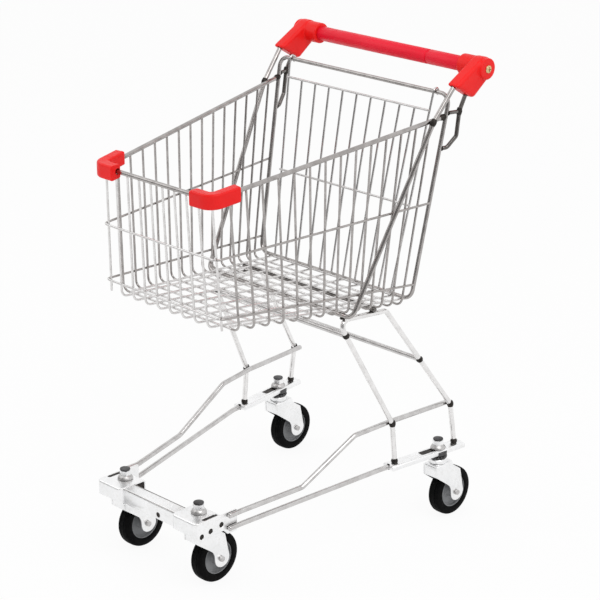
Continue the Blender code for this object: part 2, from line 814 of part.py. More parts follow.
def corner_bumper(sign, side):
    """Red moulding over the rim's front corner: a thick wall outside it, with a lip over its top."""
    near = RIM_R + CLEAR
    far = near + BUMPER_T
    section = (
        (far, -BUMPER_BELOW), (far, BUMPER_ABOVE), (-BUMPER_IN, BUMPER_ABOVE), (-BUMPER_IN, near), (near, near),
        (near, -BUMPER_BELOW),
    )
    profile = bpy.data.curves.new("bumper_section", "CURVE")
    profile.dimensions = "2D"
    spline = profile.splines.new("POLY")
    spline.points.add(len(section) - 1)
    for point, (out, up) in zip(spline.points, section):
        point.co = (-sign * out, up, 0, 1)
    spline.use_cyclic_u = True
    profile_obj = bpy.data.objects.new("bumper_section", profile)
    CUTTERS.objects.link(profile_obj)
    path = [Vector((sign * point.x, point.y, point.z)) for point in RIM_PATH[1:6]]
    side_half = rim_half(BUMPER_SIDE_Y)
    path.insert(0, Vector((sign * side_half, BUMPER_SIDE_Y, rim_z(BUMPER_SIDE_Y))))
    path.append(Vector((sign * BUMPER_FRONT_X, RIM_FRONT_Y, RIM_FRONT_Z)))
    name = f"corner_bumper_{side}"
    curve = bpy.data.curves.new(name, "CURVE")
    curve.dimensions = "3D"
    curve.twist_mode = "Z_UP"
    curve.bevel_mode = "OBJECT"
    curve.bevel_object = profile_obj
    curve.use_fill_caps = True
    run = curve.splines.new("POLY")
    run.points.add(len(path) - 1)
    for point, place in zip(run.points, path):
        point.co = (*place, 1.0)
    obj = bpy.data.objects.new(name, curve)
    bpy.context.scene.collection.objects.link(obj)
    body = baked(obj)
    bpy.data.objects.remove(profile_obj, do_unlink=True)
    return finish(body, RED)


# Chassis

def side_bar_z(y):
    """Height of the chassis side bars, which carry the two rods under the floor."""
    return floor_z(y) - UNDER_FLOOR - STRUT_D - CLEAR - ROD_R


SHOE_DIR = Vector((math.sin(-SHOE_TURN), math.cos(SHOE_TURN), 0))
SHOE_CENTRE = Vector((REAR_CASTER_X, REAR_CASTER_Y, DECK_Z))
FRONT_POST = SHOE_CENTRE - SHOE_DIR * (SHOE_FRONT - POST_INSET)
REAR_POST = SHOE_CENTRE + SHOE_DIR * (SHOE_REAR - POST_INSET)
LEG_REAR_TOP = Vector((LEG_TOP_X, LEG_TOP_REAR_Y, side_bar_z(LEG_TOP_REAR_Y)))
LEG_FRONT_TOP = Vector((LEG_TOP_X, LEG_TOP_FRONT_Y, side_bar_z(LEG_TOP_FRONT_Y)))
FRONT_NODE = Vector((FRONT_NODE_X, FRONT_POST.y, NODE_Z))
REAR_NODE = Vector((REAR_NODE_X, REAR_POST.y, NODE_Z))


def post_foot(post, node):
    """Lower end of a leaning post, whose lowest edge clears the deck by the weld gap."""
    lean = math.hypot(node.x - post.x, node.y - post.y) / (node.z - post.z)
    return post + Vector((0, 0, WELD_GAP + ROD_R * lean))


def leg_frame(sign, side):
    """One bent rod: rear post and leg, side bar under the basket, front leg and post."""
    rear, front = post_foot(REAR_POST, REAR_NODE), post_foot(FRONT_POST, FRONT_NODE)
    points = [rear, REAR_NODE, LEG_REAR_TOP, LEG_FRONT_TOP, FRONT_NODE, front]
    points = [Vector((sign * point.x, point.y, point.z)) for point in points]
    return finish(rod(f"leg_frame_{side}", points, ROD_D, LEG_BEND), CHROME)


def leg_tie(name, top, node, z):
    """Cross rod between the left and right legs at a height."""
    spot = top + (node - top) * ((top.z - z) / (top.z - node.z))
    half = spot.x - ROD_R - WELD_GAP - ROD_R * (node.x - top.x) / (top.z - node.z)
    return finish(wires(name, [[(half, spot.y, z), (-half, spot.y, z)]], ROD_D, 2), CHROME)


PLATE_IN = PAN_OUT - SHEET
PLATE_OUT = PAN_OUT + SHEET / 6
RAIL_X = PLATE_OUT + CLEAR + ROD_R
RAIL_Y = FRONT_CASTER_Y + RAIL_START


def upper_rail(sign, side):
    """Rail from outside the front end plate that rises and runs along the inside of both legs."""
    inside = Vector((ROD_D + CLEAR, 0, 0))
    top_z = NODE_Z - RAIL_TOP_DROP
    points = [
        Vector((RAIL_X, RAIL_Y, UPPER_RAIL_Z)),
        Vector((RAIL_X, RAIL_Y + RAIL_STRAIGHT, UPPER_RAIL_Z)),
        Vector((RAIL_KNEE_X, RAIL_KNEE_Y, UPPER_RAIL_Z + RAIL_RISE)),
        Vector((RAIL_TOP_X, RAIL_TOP_Y, top_z)),
        FRONT_NODE - inside,
        REAR_NODE - inside + Vector((0, RAIL_END, 0)),
    ]
    points = [Vector((sign * point.x, point.y, point.z)) for point in points]
    return finish(rod(f"upper_rail_{side}", points, ROD_D, ROD_BEND), CHROME)


def lower_rail(sign, side):
    """Straight rail from outside the front end plate to the front of the rear caster shoe."""
    shoe_end = SHOE_CENTRE - SHOE_DIR * (SHOE_FRONT + 2 * WELD_GAP)
    shoe_end.z = DECK_Z - SHOE_FLANGE / 2
    points = [
        Vector((RAIL_X, RAIL_Y, LOWER_RAIL_Z)),
        Vector((RAIL_X, RAIL_Y + RAIL_STRAIGHT, LOWER_RAIL_Z)),
        shoe_end - SHOE_DIR * ROD_BEND,
        shoe_end,
    ]
    points = [Vector((sign * point.x, point.y, point.z)) for point in points]
    return finish(rod(f"lower_rail_{side}", points, ROD_D, ROD_BEND), CHROME)


def pin_hole(x, y):
    """Cutter for a kingpin's hole through a deck sheet."""
    return cylinder("pin_hole", KINGPIN_D / 2 + CLEAR, (x, y, DECK_Z - SHEET * 2), (x, y, DECK_Z + SHEET))


def end_plate(sign):
    """Plate on a pan's outer end, whose tail carries both rails, with three holes."""
    outline = (
        (-PAN_FRONT + SHEET / 3, DECK_Z - SHEET / 3), (-PAN_FRONT + SHEET / 3, PLATE_LOW_Z),
        (TAIL_START, PLATE_LOW_Z), (TAIL_FULL, TAIL_LOW_Z),
        (PLATE_BACK, TAIL_LOW_Z), (PLATE_BACK, DECK_Z - SHEET / 3),
    )
    turn = (math.pi / 2, 0, math.pi / 2)
    middle = sign * (PLATE_OUT - SHEET / 2)
    plate = extruded("end_plate", outline, SHEET, turn, (middle, FRONT_CASTER_Y, 0))
    through = sorted((sign * (PLATE_IN - SHEET), sign * (PAN_OUT + SHEET)))
    for along, z in PLATE_HOLES:
        y = FRONT_CASTER_Y + along
        plate = cut(plate, cylinder("hole", HOLE_D / 2, (through[0], y, z), (through[1], y, z), 12))
    return plate


def pan_slot(sign):
    """Cutter for the long slot in a pan's top, near its outer end."""
    x, y = sign * (PAN_OUT - SLOT_IN), FRONT_CASTER_Y
    low = (x - SLOT_W / 2, y - SLOT_L / 2, DECK_Z - 2 * SHEET)
    return block("slot", low, (x + SLOT_W / 2, y + SLOT_L / 2, DECK_Z + SHEET))


def front_carrier():
    """Front beam of folded sheet with a pan over each caster and an end plate for the rails."""
    turn = (math.pi / 2, 0, math.pi / 2)
    beam_y = FRONT_CASTER_Y - BEAM_FRONT + BEAM_D / 2
    beam_top = DECK_Z - SHEET / 3
    beam = channel_outline(BEAM_D, BEAM_H, SHEET)
    body = extruded("front_carrier", beam, 2 * (PAN_IN + BEAM_PAST), turn, (0, beam_y, beam_top))
    pan = channel_outline(PAN_FRONT + PAN_REAR, PAN_H, SHEET)
    pan_y = FRONT_CASTER_Y + (PAN_REAR - PAN_FRONT) / 2
    for sign in (1, -1):
        middle = (sign * (PAN_IN + PAN_OUT) / 2, pan_y, DECK_Z)
        body = joined(body, extruded("pan", pan, PAN_OUT - PAN_IN, turn, middle), end_plate(sign))
        body = cut(body, pin_hole(sign * FRONT_CASTER_X, FRONT_CASTER_Y), pan_slot(sign))
    x, z = BEAM_HOLE
    front = FRONT_CASTER_Y - BEAM_FRONT
    body = cut(body, cylinder("beam_hole", HOLE_D / 2, (x, front - SHEET, z), (x, front + 2 * SHEET, z), 12))
    return finish(body, ZINC)


def caster_shoe(sign, side):
    """Folded shoe under the two posts on one side, closed at the front, for the rear caster."""
    length = SHOE_FRONT + SHOE_REAR
    turn = (math.pi / 2, 0, math.pi + sign * SHOE_TURN)
    middle = SHOE_CENTRE + SHOE_DIR * ((SHOE_REAR - SHOE_FRONT) / 2)
    place = (sign * middle.x, middle.y, DECK_Z)
    body = extruded(f"caster_shoe_{side}", channel_outline(SHOE_W, SHOE_FLANGE, SHEET), length, turn, place)
    bpy.ops.mesh.primitive_cube_add(size=1.0)
    wall = bpy.context.object
    wall.scale = (SHOE_W - SHEET, SHEET, SHOE_FLANGE - SHEET)
    wall.rotation_euler = (0, 0, sign * SHOE_TURN)
    spot = SHOE_CENTRE - SHOE_DIR * (SHOE_FRONT - SHEET * 0.7)
    wall.location = (sign * spot.x, spot.y, DECK_Z - SHOE_FLANGE / 2)
    body = joined(body, wall)
    return finish(cut(body, pin_hole(sign * REAR_CASTER_X, REAR_CASTER_Y)), ZINC)


# Casters

def fork_outline():
    """Side view of one fork leg, from the kingpin at zero, heights above the floor."""
    outline = [(-FORK_FRONT, FORK_TOP_Z), (-FORK_FRONT, APRON_Z), FORK_KNEE]
    steps = 8
    for step in range(steps + 1):
        angle = math.pi * (1 + step / steps)
        outline.append((TRAIL + FORK_EYE_R * math.cos(angle), WHEEL_R + FORK_EYE_R * math.sin(angle)))
    outline += [FORK_HIP, (FORK_REAR, FORK_NECK_Z), (FORK_REAR, FORK_TOP_Z)]
    return outline


def fork(tag, swivel):
    """Bent-sheet fork: two legs, a crown with the kingpin's hole and an apron at the front."""
    half = FORK_INNER / 2
    turn = (math.pi / 2, 0, math.pi / 2)
    drop = -FORK_TOP_Z
    body = extruded(f"fork_{tag}", fork_outline(), FORK_SHEET, turn, (half + FORK_SHEET / 2, 0, drop))
    other = extruded("leg", fork_outline(), FORK_SHEET, turn, (-half - FORK_SHEET / 2, 0, drop))
    reach = half + FORK_SHEET / 2
    front = -FORK_FRONT + FORK_SHEET / 4
    crown_low = (-reach, front, -FORK_SHEET * 1.25)
    crown_high = (reach, FORK_REAR - FORK_SHEET / 4, -FORK_SHEET / 4)
    apron_low = (-reach, front + FORK_SHEET / 4, APRON_Z + FORK_SHEET / 4 - FORK_TOP_Z)
    apron_high = (reach, front + FORK_SHEET, -FORK_SHEET)
    crown, apron = block("crown", crown_low, crown_high), block("apron", apron_low, apron_high)
    body = joined(body, crown, other, apron)
    top, below = (0, 0, FORK_SHEET), (0, 0, -FORK_SHEET * 2)
    side = half + FORK_SHEET * 2
    axle_z = WHEEL_R - FORK_TOP_Z
    axle_hole = cylinder("axle_hole", AXLE_D / 2 + CLEAR, (-side, TRAIL, axle_z), (side, TRAIL, axle_z), 16)
    body = cut(body, cylinder("pin", KINGPIN_D / 2 + CLEAR, below, top), axle_hole)
    return carried(finish(body, ZINC), swivel)


def axle_bolt(tag, swivel):
    """Axle bolt with its head and nut outside the fork's legs."""
    inside = FORK_INNER / 2 + FORK_SHEET + CLEAR
    outside = inside + AXLE_HEAD_T
    head, shank = AXLE_HEAD_D / 2, AXLE_D / 2
    profile = [
        (-outside, 0), (-outside, head), (-inside, head), (-inside, shank),
        (inside, shank), (inside, head), (outside, head), (outside, 0),
    ]
    bolt = turned(f"axle_{tag}", profile, "X", 12)
    bolt.location = (0, TRAIL, WHEEL_R - FORK_TOP_Z)
    return carried(finish(bolt, ZINC), swivel)


def tyre(tag, hub):
    """Black tyre with a crowned tread, standing on one of its flats."""
    half, root = TYRE_W / 2, WHEEL_R - TYRE_T
    tread = WHEEL_R / math.cos(math.pi / WHEEL_STEPS)
    shoulder = tread * 0.97
    profile = [
        (-half * 0.9, root), (half * 0.9, root), (half, root + TYRE_T * 0.4), (half * 0.8, shoulder),
        (half * 0.4, tread), (-half * 0.4, tread), (-half * 0.8, shoulder), (-half, root + TYRE_T * 0.4),
    ]
    ring = turned(f"tyre_{tag}", profile, "X", WHEEL_STEPS)
    ring.rotation_euler = (math.pi / WHEEL_STEPS, 0, 0)
    return carried(finish(ring, RUBBER), hub)


def wheel_core(tag, hub):
    """Moulded wheel centre: rim, web and a hub that runs on the axle bolt."""
    rim = WHEEL_R - TYRE_T - CLEAR
    half, web = TYRE_W / 2 * 0.9, TYRE_W / 8
    bore, boss = AXLE_D / 2 + CLEAR, HUB_D / 2
    end = FORK_INNER / 2 - 2 * WELD_GAP
    wall = rim - FORK_SHEET
    profile = [
        (-end, bore), (end, bore), (end, boss), (web, boss * 1.15), (web, wall), (half, wall), (half, rim),
        (-half, rim), (-half, wall), (-web, wall), (-web, boss * 1.15), (-end, boss),
    ]
    core = turned(f"wheel_core_{tag}", profile, "X", WHEEL_STEPS)
    core.rotation_euler = (math.pi / WHEEL_STEPS, 0, 0)
    return carried(finish(core, HUB_GREY), hub)


def kingpin(tag, x, y):
    """Kingpin with its head under the fork's crown and a flat cap over the nut."""
    shank, head, cap = KINGPIN_D / 2, KINGPIN_HEAD_D / 2, PIN_CAP_D / 2
    seat = FORK_TOP_Z - FORK_SHEET * 1.25 - CLEAR
    under_cap = DECK_Z + 2 * CLEAR + DOME_T + NUT_T
    top = under_cap + PIN_CAP_T
    profile = [
        (seat - KINGPIN_HEAD_T, 0), (seat - KINGPIN_HEAD_T, head), (seat, head), (seat, shank),
        (under_cap, shank), (under_cap, cap), (top, cap), (top, 0),
    ]
    pin = turned(f"kingpin_{tag}", profile, "Z", 12)
    pin.location = (x, y, 0)
    return finish(pin, DARK_STEEL)


def swivel_head(tag, x, y):
    """Bearing head between the fork's crown and the deck sheet."""
    bore, outer = KINGPIN_D / 2 + CLEAR, SWIVEL_HEAD_D / 2
    low, high = FORK_TOP_Z + CLEAR, DECK_Z - SHEET - CLEAR
    waist = outer * 0.8
    profile = [
        (low, bore), (low, outer), (lerp(low, high, 0.3), outer), (lerp(low, high, 0.4), waist),
        (lerp(low, high, 0.7), waist), (lerp(low, high, 0.8), outer), (high, outer), (high, bore),
    ]
    head = turned(f"swivel_head_{tag}", profile, "Z", 16)
    head.location = (x, y, 0)
    return finish(head, DARK_STEEL)


def kingpin_nut(tag, x, y):
    """Domed washer and hexagon nut on top of the deck sheet."""
    bore = KINGPIN_D / 2 + CLEAR
    low = DECK_Z + CLEAR
    wide, narrow = DOME_D / 2, NUT_ACROSS / 2
    profile = [
        (low, bore), (low, wide), (low + DOME_T * 0.3, wide), (low + DOME_T * 0.8, narrow * 1.1),
        (low + DOME_T, narrow - DOME_LIP), (low + DOME_T, bore),
    ]
    dome = turned(f"kingpin_nut_{tag}", profile, "Z", 16)
    seat, top = low + DOME_T * 0.7, low + DOME_T + NUT_T
    nut = cylinder("nut", NUT_ACROSS / math.sqrt(3), (0, 0, seat), (0, 0, top), 6)
    through = cylinder("through", bore, (0, 0, low), (0, 0, top + NUT_T), 16)
    nut = cut(nut, through)
    dome = joined(dome, nut)
    dome.location = (x, y, 0)
    return finish(dome, ZINC)


def caster(tag, x, y):
    """One swivel caster on its kingpin."""
    swivel = axis_empty(f"swivel_{tag}_axis", (x, y, FORK_TOP_Z))
    hub = axis_empty(f"wheel_{tag}_axis", (x, y + TRAIL, WHEEL_R), swivel)
    fork(tag, swivel)
    axle_bolt(tag, swivel)
    tyre(tag, hub)
    wheel_core(tag, hub)
    kingpin(tag, x, y)
    swivel_head(tag, x, y)
    kingpin_nut(tag, x, y)


def build():
    """Build every piece of the cart."""
    basket_front()
    basket_floor()
    basket_rim()
    rear_hoop()
    handle_strut()
    floor_cross_rod()
    gate()
    handle_bar()
    handle_grip()
    front_carrier()
    leg_tie("front_leg_tie", LEG_FRONT_TOP, FRONT_NODE, FRONT_TIE_Z)
    leg_tie("rear_leg_tie", LEG_REAR_TOP, REAR_NODE, REAR_TIE_Z)
    for sign, side in SIDES:
        basket_side(sign, side)
        handle_bracket(sign, side)
        handle_stay(sign, side)
        bracket_screw(sign, side)
        corner_bumper(sign, side)
        leg_frame(sign, side)
        upper_rail(sign, side)
        lower_rail(sign, side)
        caster_shoe(sign, side)
    for tag, x, y in CASTERS:
        caster(tag, x, y)


build()
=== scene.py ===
"""Shopping cart in a white studio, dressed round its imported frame.

Lengths are metres, +Z is up, the cart's front faces -Y and +X is its right-hand side seen from the front.
Every wire, rod, moulding and caster piece is modelled again here with its round section, folds, welds and
fasteners, rides on the body of the piece that it stands for, and has a procedural finish.
"""

import logging
import math
from dataclasses import dataclass
from enum import Enum

import bpy
from mathutils import Matrix, Vector


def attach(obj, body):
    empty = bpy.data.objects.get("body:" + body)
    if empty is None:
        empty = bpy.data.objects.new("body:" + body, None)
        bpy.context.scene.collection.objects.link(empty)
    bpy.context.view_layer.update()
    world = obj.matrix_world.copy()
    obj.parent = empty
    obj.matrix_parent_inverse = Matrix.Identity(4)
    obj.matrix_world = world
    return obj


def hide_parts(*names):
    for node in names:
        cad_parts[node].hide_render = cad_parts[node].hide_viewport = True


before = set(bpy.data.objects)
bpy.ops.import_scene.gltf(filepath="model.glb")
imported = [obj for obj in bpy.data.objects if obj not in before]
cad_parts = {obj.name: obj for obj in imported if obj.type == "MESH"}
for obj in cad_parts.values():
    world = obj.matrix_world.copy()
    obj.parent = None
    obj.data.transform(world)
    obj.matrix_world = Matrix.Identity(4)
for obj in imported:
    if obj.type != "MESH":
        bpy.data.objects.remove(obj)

LOG = logging.getLogger("shopping_cart")
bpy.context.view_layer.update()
FRAME_BODY = "frame"
X_AXIS = Vector((1, 0, 0))
Y_AXIS = Vector((0, 1, 0))
Z_AXIS = Vector((0, 0, 1))
MIRROR = Matrix.Scale(-1, 4, X_AXIS)

# Gap between neighbouring pieces, thickness of the chassis sheet and height of its deck
GAP = 0.0003
SHEET = 0.003
DECK_Z = 0.151

# Least angle of an edge that is rounded
SHARP = math.radians(40.0)

Pair = tuple[float, float]
Triple = tuple[float, float, float]
Colour = Triple
Outline = list[Pair]
Path = list[Vector]
Run = list[tuple[Vector, float]]


class Side(Enum):
    """Right and left of the cart, with the sign of X there."""

    RIGHT = 1
    LEFT = -1

    @property
    def label(self) -> str:
        """Name of the side, as in the CAD nodes."""
        return self.name.lower()

    def place(self, point: Vector) -> Vector:
        """Put a right-hand point on this side."""
        return Vector((self.value * point[0], point[1], point[2]))

    def path(self, points: Path) -> Path:
        """Put a right-hand path on this side."""
        return [self.place(point) for point in points]


class Slot(Enum):
    """Material slots of the record."""

    CHROME = "chrome_wire"
    ZINC = "zinc_steel"
    DARK = "dark_steel"
    YELLOW = "yellow_zinc"
    RED = "red_plastic"
    RUBBER = "black_rubber"
    GREY = "grey_plastic"


class Corner(Enum):
    """Places of the four casters: X and Y of the kingpin."""

    FRONT_RIGHT = (0.104, -0.299)
    FRONT_LEFT = (-0.104, -0.299)
    REAR_RIGHT = (0.225, 0.226)
    REAR_LEFT = (-0.225, 0.226)

    @property
    def label(self) -> str:
        """Name of the corner, as in the CAD nodes."""
        return self.name.lower()

    @property
    def pin(self) -> Vector:
        """Point of the kingpin's axis on the floor."""
        return Vector((*self.value, 0))


# Finishes

class NodeBench:
    """A material whose nodes are wired up one by one."""

    def __init__(self, name: str) -> None:
        """Start a material with its Principled shader and Object coordinates.

        Args:
            name: Name of the material.
        """
        self.material = bpy.data.materials.new(name)
        self.material.use_nodes = True
        self.tree = self.material.node_tree
        self.shader = self.tree.nodes["Principled BSDF"]
        self.coords = self.tree.nodes.new("ShaderNodeTexCoord").outputs["Object"]

    def set(self, **values: object) -> None:
        """Set sockets of the shader, with underscores for the spaces in their names."""
        for label, value in values.items():
            self.shader.inputs[label.replace("_", " ")].default_value = value

    def noise(self, scale: float, detail: float, stretch: Triple = (1, 1, 1)) -> bpy.types.NodeSocket:
        """Add a noise pattern.

        Args:
            scale: Size of the pattern, in cells per metre.
            detail: Number of octaves.
            stretch: Scale of the coordinates on each axis.

        Returns:
            The noise value's socket.
        """
        mapping = self.tree.nodes.new("ShaderNodeMapping")
        mapping.inputs["Scale"].default_value = stretch
        self.tree.links.new(self.coords, mapping.inputs["Vector"])
        node = self.tree.nodes.new("ShaderNodeTexNoise")
        node.inputs["Scale"].default_value = scale
        node.inputs["Detail"].default_value = detail
        self.tree.links.new(mapping.outputs["Vector"], node.inputs["Vector"])
        return node.outputs["Fac"]

    def ramp(self, value: bpy.types.NodeSocket, *stops: tuple[float, Colour]) -> bpy.types.NodeSocket:
        """Turn a value into a colour.

        Args:
            value: Socket to read.
            stops: Places and colours of the ramp.

        Returns:
            The colour's socket.
        """
        node = self.tree.nodes.new("ShaderNodeValToRGB")
        elements = node.color_ramp.elements
        while len(elements) < len(stops):
            elements.new(1.0)
        for element, (place, colour) in zip(elements, stops):
            element.position = place
            element.color = (*colour, 1.0)
        self.tree.links.new(value, node.inputs["Fac"])
        return node.outputs["Color"]

    def span(self, value: bpy.types.NodeSocket, low: float, high: float) -> bpy.types.NodeSocket:
        """Spread the middle of a noise value over a range.

        Args:
            value: Socket to read.
            low: Result where the noise is low.
            high: Result where the noise is high.

        Returns:
            The result's socket.
        """
        quiet, loud = 0.3, 0.7
        node = self.tree.nodes.new("ShaderNodeMapRange")
        node.inputs["From Min"].default_value = quiet
        node.inputs["From Max"].default_value = loud
        node.inputs["To Min"].default_value = low
        node.inputs["To Max"].default_value = high
        self.tree.links.new(value, node.inputs["Value"])
        return node.outputs["Result"]

    def mixed(self, share: bpy.types.NodeSocket, first: bpy.types.NodeSocket,
              second: Colour) -> bpy.types.NodeSocket:
        """Mix a fixed colour into a colour.

        Args:
            share: Socket of the fixed colour's share.
            first: Socket of the colour underneath.
            second: The fixed colour.

        Returns:
            The mixed colour's socket.
        """
        node = self.tree.nodes.new("ShaderNodeMix")
        node.data_type = "RGBA"
        self.tree.links.new(share, node.inputs["Factor"])
        self.tree.links.new(first, node.inputs["A"])
        node.inputs["B"].default_value = (*second, 1.0)
        return node.outputs["Result"]

    def wire(self, value: bpy.types.NodeSocket, socket: str) -> None:
        """Link a socket to one of the shader's."""
        self.tree.links.new(value, self.shader.inputs[socket])

    def bump(self, value: bpy.types.NodeSocket, strength: float, depth: float) -> None:
        """Raise the surface by a value.

        Args:
            value: Socket of the height.
            strength: Strength of the bump.
            depth: Height in metres.
        """
        node = self.tree.nodes.new("ShaderNodeBump")
        node.inputs["Strength"].default_value = strength
        node.inputs["Distance"].default_value = depth
        self.tree.links.new(value, node.inputs["Height"])
        self.wire(node.outputs["Normal"], "Normal")


@dataclass(frozen=True)
class PlatedMetal:
    """Plated steel: a mottled colour, cloudy gloss and a faint skin of drawing or rolling marks."""

    name: str
    slot: Slot
    light: Colour
    dark: Colour
    stain: Colour
    gloss: Pair
    mottle: float = 60.0
    cloud_ends: Pair = (0.32, 0.62)
    spotting: float = 0.35
    grain: float = 900.0
    grain_depth: float = 0.00002
    relief: float = 0.25

    def make(self) -> bpy.types.Material:
        """Build the finish's material.

        Returns:
            The material.
        """
        bench = NodeBench(self.name)
        bench.set(Metallic=1.0)
        clouds = bench.noise(self.mottle, detail=4.0)
        base = bench.ramp(clouds, *zip(self.cloud_ends, (self.dark, self.light)))
        spots = bench.span(bench.noise(self.mottle * 6, detail=3.0), -self.spotting, self.spotting)
        bench.wire(bench.mixed(spots, base, self.stain), "Base Color")
        bench.wire(bench.span(bench.noise(self.mottle * 3, detail=5.0), *self.gloss), "Roughness")
        bench.bump(bench.noise(self.grain, detail=2.0), self.relief, self.grain_depth)
        return bench.material


@dataclass(frozen=True)
class MouldedPlastic:
    """Moulded plastic: an even colour with faint flow marks, handling haze and a spark-eroded grain."""

    name: str
    slot: Slot
    light: Colour
    dark: Colour
    gloss: Pair
    shine: float = 0.25
    flow: float = 24.0
    flow_stretch: Triple = (0.4, 1.0, 1.0)
    flow_ends: Pair = (0.3, 0.66)
    haze: float = 70.0
    grain: float = 1600.0
    grain_depth: float = 0.00006
    relief: float = 0.35

    def make(self) -> bpy.types.Material:
        """Build the finish's material.

        Returns:
            The material.
        """
        bench = NodeBench(self.name)
        bench.set(Specular_IOR_Level=self.shine)
        marks = bench.noise(self.flow, 3.0, self.flow_stretch)
        bench.wire(bench.ramp(marks, *zip(self.flow_ends, (self.dark, self.light))), "Base Color")
        bench.wire(bench.span(bench.noise(self.haze, detail=5.0), *self.gloss), "Roughness")
        bench.bump(bench.noise(self.grain, detail=2.0), self.relief, self.grain_depth)
        return bench.material


@dataclass(frozen=True)
class WornRubber:
    """Black rubber with floor dust in its pores."""

    name: str
    slot: Slot
    black: Colour
    dust: Colour
    gloss: Pair
    shine: float = 0.06
    smear: float = 90.0
    smear_ends: Pair = (0.48, 0.80)
    haze: float = 160.0
    pores: float = 1400.0
    pore_depth: float = 0.00008
    relief: float = 0.4

    def make(self) -> bpy.types.Material:
        """Build the finish's material.

        Returns:
            The material.
        """
        bench = NodeBench(self.name)
        bench.set(Specular_IOR_Level=self.shine)
        dirt = bench.noise(self.smear, detail=6.0)
        bench.wire(bench.ramp(dirt, *zip(self.smear_ends, (self.black, self.dust))), "Base Color")
        bench.wire(bench.span(bench.noise(self.haze, detail=4.0), *self.gloss), "Roughness")
        bench.bump(bench.noise(self.pores, detail=3.0), self.relief, self.pore_depth)
        return bench.material


CHROME = PlatedMetal("bright_chrome", Slot.CHROME, (0.64, 0.63, 0.625), (0.52, 0.505, 0.50),
                     (0.36, 0.335, 0.325), (0.07, 0.17))
# Lighter copy of the chrome for the front and floor wires: its lighter colour is a painted highlight
LIT_CHROME = PlatedMetal("lit_chrome", Slot.CHROME, (0.77, 0.76, 0.755), (0.65, 0.635, 0.63),
                    (0.47, 0.445, 0.435), (0.07, 0.17))
# Darker copy of the chrome for the side wires, rim, hoop, strut and the front fold line: its darker colour
# is painted shade
SHADED_CHROME = PlatedMetal("shaded_chrome", Slot.CHROME, (0.46, 0.438, 0.427), (0.34, 0.321, 0.312),
                    (0.22, 0.201, 0.192), (0.08, 0.18))
# Much darker copy of the chrome for the stays, the floor rod and the rear fold line: its dark colour is a
# painted dark reflection and shade
DARK_REFLECTION_CHROME = PlatedMetal("dark_reflection_chrome", Slot.CHROME, (0.19, 0.178, 0.170), (0.13, 0.121, 0.115),
                     (0.08, 0.073, 0.068), (0.08, 0.18))
# Lighter, rougher copy of the chrome for the legs: the rougher gloss is a satin finish, the near-white
# colour a painted highlight
LIT_SATIN_CHROME = PlatedMetal("lit_satin_chrome", Slot.CHROME, (0.86, 0.85, 0.845), (0.77, 0.76, 0.755),
                    (0.62, 0.60, 0.59), (0.14, 0.26))
# Near black: the real colour of the weld beads, and also painted shade on the dark discs and plates set in
# holes, slots and open ends
WELD_AND_SHADE = PlatedMetal("weld_scale_and_painted_shade", Slot.CHROME, (0.060, 0.054, 0.050), (0.030, 0.027, 0.025),
                   (0.016, 0.014, 0.013), (0.40, 0.58))
ZINC = PlatedMetal("zinc_sheet", Slot.ZINC, (0.94, 0.94, 0.945), (0.88, 0.885, 0.89),
                   (0.80, 0.79, 0.77), (0.26, 0.38), mottle=24.0)
# Darker copy of the zinc: painted shade on the domed washers under the kingpin nuts, and a greyer tone on
# the axle bolts
SHADED_ZINC = PlatedMetal("shaded_zinc", Slot.ZINC, (0.60, 0.59, 0.585), (0.46, 0.45, 0.445),
                        (0.34, 0.325, 0.315), (0.28, 0.42))
DARK_STEEL = PlatedMetal("oiled_steel", Slot.DARK, (0.12, 0.12, 0.125), (0.05, 0.05, 0.052),
                         (0.16, 0.13, 0.10), (0.35, 0.55))
YELLOW_ZINC = PlatedMetal("yellow_passivate", Slot.YELLOW, (0.74, 0.58, 0.30), (0.60, 0.46, 0.22),
                          (0.52, 0.46, 0.40), (0.22, 0.36))
RED = MouldedPlastic("red_moulding", Slot.RED, (0.88, 0.012, 0.011), (0.80, 0.008, 0.008), (0.34, 0.46))
GRIP_RED = MouldedPlastic("red_sleeve", Slot.RED, (0.84, 0.010, 0.034), (0.77, 0.007, 0.024), (0.30, 0.44))
RUBBER = WornRubber("tyre_rubber", Slot.RUBBER, (0.0020, 0.0020, 0.0022), (0.0060, 0.0058, 0.0055),
                    (0.52, 0.74))
GREY = MouldedPlastic("grey_nylon", Slot.GREY, (0.30, 0.305, 0.315), (0.20, 0.205, 0.21), (0.38, 0.52))
METALS = (CHROME, LIT_CHROME, SHADED_CHROME, DARK_REFLECTION_CHROME, LIT_SATIN_CHROME, WELD_AND_SHADE, ZINC, SHADED_ZINC, DARK_STEEL, YELLOW_ZINC)
FINISHES = METALS + (RED, GRIP_RED, RUBBER, GREY)
Finish = PlatedMetal | MouldedPlastic | WornRubber


